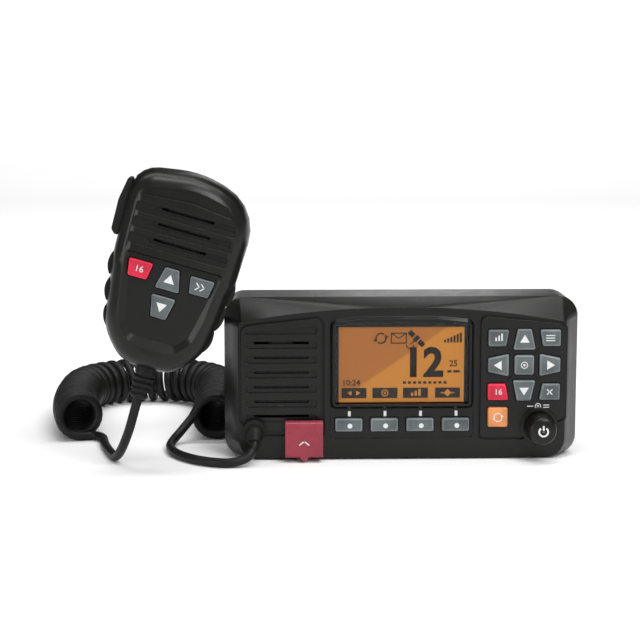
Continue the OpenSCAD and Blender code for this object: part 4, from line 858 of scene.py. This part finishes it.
class RADIO_OT_keys(bpy.types.Operator):
    """Makes the keys and their legends"""
    bl_idname = "radio.keys"
    bl_label = "Keys"

    def execute(self, context):
        f = finishes()
        edge = context.scene.radio_sizes.key_edge
        u, v = KEYS_MID
        left, right = u - KEY_PITCH, u + KEY_PITCH
        top, low = v + CORNER_RISE, v - CORNER_RISE
        legends = {
            "key_power_level": [("bar", left - 1.5, top - 0.5, 0.8, 1.8), ("bar", left, top, 0.8, 2.8),
                                ("bar", left + 1.5, top + 0.5, 0.8, 3.8)],
            "key_up": arrow(u, v + KEY_PITCH - 0.2, 0),
            "key_menu": [("bar", right, top + d, 4.6, 0.45) for d in (-1.3, 0, 1.3)],
            "key_left": arrow(left + 0.2, v, 90),
            "key_enter": [("ring", u, v, 1.8, 0.4), ("poly", 24, u, v, 0.6)],
            "key_right": arrow(right - 0.2, v, -90),
            "key_channel_16": [("text", left, low, 4.2, "16", 0)],
            "key_down": arrow(u, v - KEY_PITCH + 0.2, 180),
            "key_clear": [("bar", right, low, 3.9, 0.5, 45), ("bar", right, low, 3.9, 0.5, -45)],
            "key_call": turning_arrows(left, v - 27, 2.3, 0.45),
        }
        for key, shapes in legends.items():
            finish = {"key_channel_16": "red_keys", "key_call": "call_key"}.get(key, "keys")
            cap(key, key.replace("key_", "cap_"), finish, edge)
            sign(key.replace("key_", "legend_"), shapes, KEY_Y - PRINT, f["legends"], body_of(key))
        ridges = [("bar", u + i * 6.9, v + j * 6.9, 3.6, 0.9, 45 * i * j) for i in (-1, 1) for j in (-1, 1)]
        soften(sign("key_ridges", ridges, FACE_Y - 0.6, f["housing"], "radio", thick=0.7),
               context.scene.radio_sizes.edge)
        for i, x in enumerate(SOFT_X):
            key = f"soft_key_{i + 1}"
            cap(key, f"soft_cap_{i + 1}", "keys", edge)
            sign(f"soft_dot_{i + 1}", [("poly", 24, x + 0.6, SOFT_Z - 0.4, 1.25)], KEY_Y - PRINT, f["legends"],
                 body_of(key))
        ticks = [("bar", x + 0.4, 23.7, 1.4, 2.7) for x in SOFT_X]
        sign("soft_ticks", ticks, TRAY_Y - PRINT, f["legends"], "radio")
        return {"FINISHED"}


class RADIO_OT_knob(bpy.types.Operator):
    """Makes the volume knob with its power sign and the legend above it"""
    bl_idname = "radio.knob"
    bl_label = "Volume knob"

    def execute(self, context):
        f = finishes()
        edge = context.scene.radio_sizes.edge
        moulded("volume_knob", "knob_cap", f["housing"], edge)
        x, z = KNOB
        power = sign("knob_power_sign", [("ring", x, z, 2.7, 0.9, ((55, 125),)), ("bar", x, z + 1.4, 0.9, 3.3)],
                     -KNOB_FRONT - PRINT, f["legends"], "volume_knob", thick=0.5)
        # The sign is bent to lie on the knob's front
        for vertex in power.data.vertices:
            r = math.hypot(vertex.co.x / MM - x, vertex.co.z / MM - z)
            vertex.co.y += KNOB_FALL * min(r / KNOB_FALL_R, 1.0) * MM
        sign("knob_legend", [("ring", x - 0.6, 27.2, 1.6, 0.45), ("poly", 16, x - 0.6, 27.2, 0.5),
                             ("bar", x - 4.6, 27.2, 3.2, 0.45), ("bar", x + 3.6, 27.8, 3.0, 0.45),
                             ("bar", x + 3.6, 26.6, 3.0, 0.45)],
             FACE_Y - PRINT, f["legends"], "radio")
        coat("steel", "encoder_shaft")
        coat("nickel", "encoder_rotor")
        coat("zinc", "encoder_body")
        return {"FINISHED"}


class RADIO_OT_distress(bpy.types.Operator):
    """Makes the hinged distress cover, its hinge and the button under it"""
    bl_idname = "radio.distress"
    bl_label = "Distress cover"

    def execute(self, context):
        f = finishes()
        edge = context.scene.radio_sizes.edge
        moulded("distress_cover", "cover_flap", f["cover"], edge)
        moulded("distress_button", "round_red_button", f["red_keys"], edge)
        sign("cover_chevron", [("bar", -51.45, 10.2, 3.6, 0.6, 40), ("bar", -49.15, 10.2, 3.6, 0.6, -40)],
             COVER_FRONT_Y - 0.05, f["legends"], "distress_cover")
        coat("steel", "distress_pin", "distress_spring")
        return {"FINISHED"}


def on_keypad_recess(p):
    """Whether a point is at the rim or on the floor of the microphone's keypad recess."""
    v = (p.x - MIC_X) * math.sin(TILT) + (p.z - MIC_Z) * math.cos(TILT)
    at_floor, at_front = (abs(p.y - y) < ON_PLANE for y in (MIC_FLOOR_Y, MIC_FRONT_Y))
    return at_floor or (at_front and v < MIC_RECESS_TOP_V)


class RADIO_OT_microphone(bpy.types.Operator):
    """Makes the fist microphone with its keys, grips, talk lever and boot"""
    bl_idname = "radio.microphone"
    bl_label = "Microphone"

    def execute(self, context):
        f = finishes()
        sizes = context.scene.radio_sizes
        moulded("mic_front_shell", "mic_front", f["housing"], sizes.edge, on_keypad_recess)
        moulded("mic_back_shell", "mic_back", f["housing"], sizes.edge)
        moulded("mic_grip", "mic_grips", f["rubber"], sizes.edge)
        moulded("talk_lever", "mic_talk_lever", f["rubber"], sizes.edge)
        moulded("mic_boot", "mic_strain_relief", f["rubber"], sizes.edge)
        moulded("hang_button", "mic_hang_button", f["steel"], sizes.edge)
        moulded("mic_screws", "mic_back_screws", f["steel"], sizes.edge / 2)
        legends = {
            "mic_key_16": [("text", -15.8, -1.8, 4.4, "16", 0)],
            "mic_key_up": arrow(-0.4, -3.2, 0, 3.0),
            "mic_key_scan": [("bar", 13.4 + d, -2.4 + s * 0.85, 2.6, 0.5, -s * 45) for d in (0, 2.4)
                             for s in (1, -1)],
            "mic_key_down": arrow(-0.9, -16.4, 180, 3.0),
        }
        for key, shapes in legends.items():
            finish = "red_keys" if key == "mic_key_16" else "keys"
            cap(key, key.replace("mic_key_", "mic_cap_"), finish, sizes.key_edge)
            sign(key.replace("mic_key_", "mic_legend_"), shapes, MIC_KEY_Y - PRINT, f["legends"], body_of(key),
                 mic=True)
        coat("board", "mic_board")
        coat("mesh", "mic_speaker")
        return {"FINISHED"}


class RADIO_OT_chassis(bpy.types.Operator):
    """Makes the die-cast chassis, the rear sockets and the boards inside"""
    bl_idname = "radio.chassis"
    bl_label = "Chassis"

    def execute(self, context):
        f = finishes()
        edge = context.scene.radio_sizes.edge
        moulded("chassis", "cast_chassis", f["casting"], edge)
        moulded("antenna_socket", "rear_antenna_socket", f["nickel"], edge)
        moulded("power_gland", "rear_gland", f["rubber"], edge)
        moulded("side_inserts", "bracket_inserts", f["brass"], edge / 2)
        moulded("bezel_screws", "flange_screws", f["steel"], edge / 2)
        coat("board", "main_board")
        coat("zinc", "shield_can")
        coat("ribbon", "ribbon_cable")
        return {"FINISHED"}


class RADIO_OT_hanger(bpy.types.Operator):
    """Makes the plate that the microphone hangs on"""
    bl_idname = "radio.hanger"
    bl_label = "Hanger"

    def execute(self, context):
        f = finishes()
        edge = context.scene.radio_sizes.edge
        moulded("mic_hanger", "hanger_plate", f["steel"], edge)
        moulded("hanger_screws", "hanger_plate_screws", f["steel"], edge)
        return {"FINISHED"}


def area_light(name, place, target, size, power):
    deselect()
    way = Vector(target) - Vector(place)
    bpy.ops.object.light_add(type="AREA", location=place, rotation=way.to_track_quat("-Z", "Y").to_euler())
    light = bpy.context.object
    light.name = name
    light.data.shape = "RECTANGLE"
    light.data.size, light.data.size_y = size
    light.data.energy = power


def worked_out(mat, operation, first, second=0.0):
    """The result of a sum on a socket and a number or another socket."""
    made = node(mat, "ShaderNodeMath", operation=operation)
    link(mat, first, made.inputs[0])
    if isinstance(second, float):
        made.inputs[1].default_value = second
    else:
        link(mat, second, made.inputs[1])
    return made.outputs["Value"]


# The studio in metres: its floor, which lies just below the radio, and the backdrop's height and curve
FLOOR_SIZE, FLOOR_Z = (16, 6), -0.0002
BACKDROP_RISE, BACKDROP_CURVE = 5, 1.2
# Its paint in metres: where it turns dark above the frame, and the bright strip's middle and soft edge
DARK_FROM, DARK_TO = 0.36, 0.41
STRIP_X, STRIP_FROM, STRIP_TO = 0.28, 0.12, 0.3
DARK_PAPER = (0.03, 0.03, 0.03)


def graduated(mat, colour):
    """Pale paper that turns dark above the frame, apart from one bright strip for the roof's shine."""
    split = node(mat, "ShaderNodeSeparateXYZ")
    link(mat, place_of(mat), split.inputs["Vector"])
    high = ranged(mat, split.outputs["Z"], DARK_FROM, DARK_TO)
    aside = worked_out(mat, "ABSOLUTE", worked_out(mat, "SUBTRACT", split.outputs["X"], STRIP_X))
    off_strip = ranged(mat, aside, STRIP_FROM, STRIP_TO)
    mix = node(mat, "ShaderNodeMix", data_type="RGBA")
    link(mat, worked_out(mat, "MULTIPLY", high, off_strip), mix.inputs["Factor"])
    mix.inputs["A"].default_value = (*colour, 1)
    mix.inputs["B"].default_value = (*DARK_PAPER, 1)
    link(mat, mix.outputs["Result"], shader_of(mat).inputs["Base Color"])


# Lights in metres: name, place, aim, size and share of the key light's power
LIGHTS = [
    ("key_light", (0.55, -0.8, 1.1), (-0.04, 0.0, 0.05), (0.5, 0.5), 1.0),
    ("fill_light", (-1.0, -0.75, 0.27), (-0.04, 0.0, 0.06), (0.5, 0.4), 0.3),
    ("edge_light", (0.36, -1.23, 0.65), (-0.1, 0.0, 0.06), (0.35, 0.35), 0.32),
    ("top_light", (0.05, -0.15, 1.1), (0.0, 0.03, 0.0), (0.7, 0.25), 0.45),
    ("back_light", (0.0, 0.6, 2.2), (0.0, 3.6, 0.4), (3.0, 1.0), 6.5),
]
WORLD_LIGHT = 0.36


class RADIO_OT_stage(bpy.types.Operator):
    """Sets the pale floor and the soft studio light"""
    bl_idname = "radio.stage"
    bl_label = "Stage"

    def execute(self, context):
        studio = context.scene.radio_studio
        deselect()
        bpy.ops.mesh.primitive_plane_add(size=1, location=(0, 0, FLOOR_Z))
        floor = context.object
        floor.name = "studio_floor"
        floor.scale = (*FLOOR_SIZE, 1)
        settle(floor)
        edit(floor)
        bpy.ops.mesh.select_all(action="DESELECT")
        leave()
        for each in floor.data.edges:
            each.select = all(floor.data.vertices[i].co.y > 0 for i in each.vertices)
        bpy.ops.object.mode_set(mode="EDIT")
        bpy.ops.mesh.select_mode(type="EDGE")
        bpy.ops.mesh.extrude_region_move(TRANSFORM_OT_translate={"value": (0, 0, BACKDROP_RISE)})
        leave()
        modify(floor, "BEVEL", width=BACKDROP_CURVE, segments=12, limit_method="ANGLE", angle_limit=1.0)
        smooth(floor, 40)
        paper = new_finish("studio_paper", tuple(studio.floor), 0.9)
        graduated(paper, tuple(studio.floor))
        floor.data.materials.append(paper)
        for name, place, target, size, share in LIGHTS:
            area_light(name, place, target, size, studio.key_light * share)
        world = bpy.data.worlds.new("studio_world")
        context.scene.world = world
        world.use_nodes = True
        back = world.node_tree.nodes["Background"]
        back.inputs["Color"].default_value = (1, 1, 1, 1)
        back.inputs["Strength"].default_value = WORLD_LIGHT
        return {"FINISHED"}


OPERATORS = [RADIO_OT_camera, RADIO_OT_cord, RADIO_OT_housing, RADIO_OT_display, RADIO_OT_keys, RADIO_OT_knob,
             RADIO_OT_distress, RADIO_OT_microphone, RADIO_OT_chassis, RADIO_OT_hanger, RADIO_OT_stage]


class RADIO_PT_panel(bpy.types.Panel):
    """Lists the steps that build the radio, and its sizes and colours"""
    bl_idname = "RADIO_PT_panel"
    bl_label = "Marine radio"
    bl_space_type = "VIEW_3D"
    bl_region_type = "UI"
    bl_category = "Marine radio"

    def draw(self, context):
        for operator in OPERATORS:
            self.layout.operator(operator.bl_idname)
        for group in (context.scene.radio_sizes, context.scene.radio_colours, context.scene.radio_studio):
            for name in group.__annotations__:
                self.layout.prop(group, name)


GROUPS = {"radio_colours": RadioColours, "radio_sizes": RadioSizes, "radio_studio": StudioSettings}


def register():
    for cls in [*GROUPS.values(), *OPERATORS, RADIO_PT_panel]:
        bpy.utils.register_class(cls)
    for name, group in GROUPS.items():
        setattr(bpy.types.Scene, name, bpy.props.PointerProperty(type=group))


def unregister():
    for name in GROUPS:
        delattr(bpy.types.Scene, name)
    for cls in [RADIO_PT_panel, *reversed(OPERATORS), *GROUPS.values()]:
        bpy.utils.unregister_class(cls)


def main():
    """Builds the radio step by step."""
    register()
    for operator in OPERATORS:
        group, step = operator.bl_idname.split(".")
        getattr(getattr(bpy.ops, group), step)()


if __name__ == "__main__":
    main()
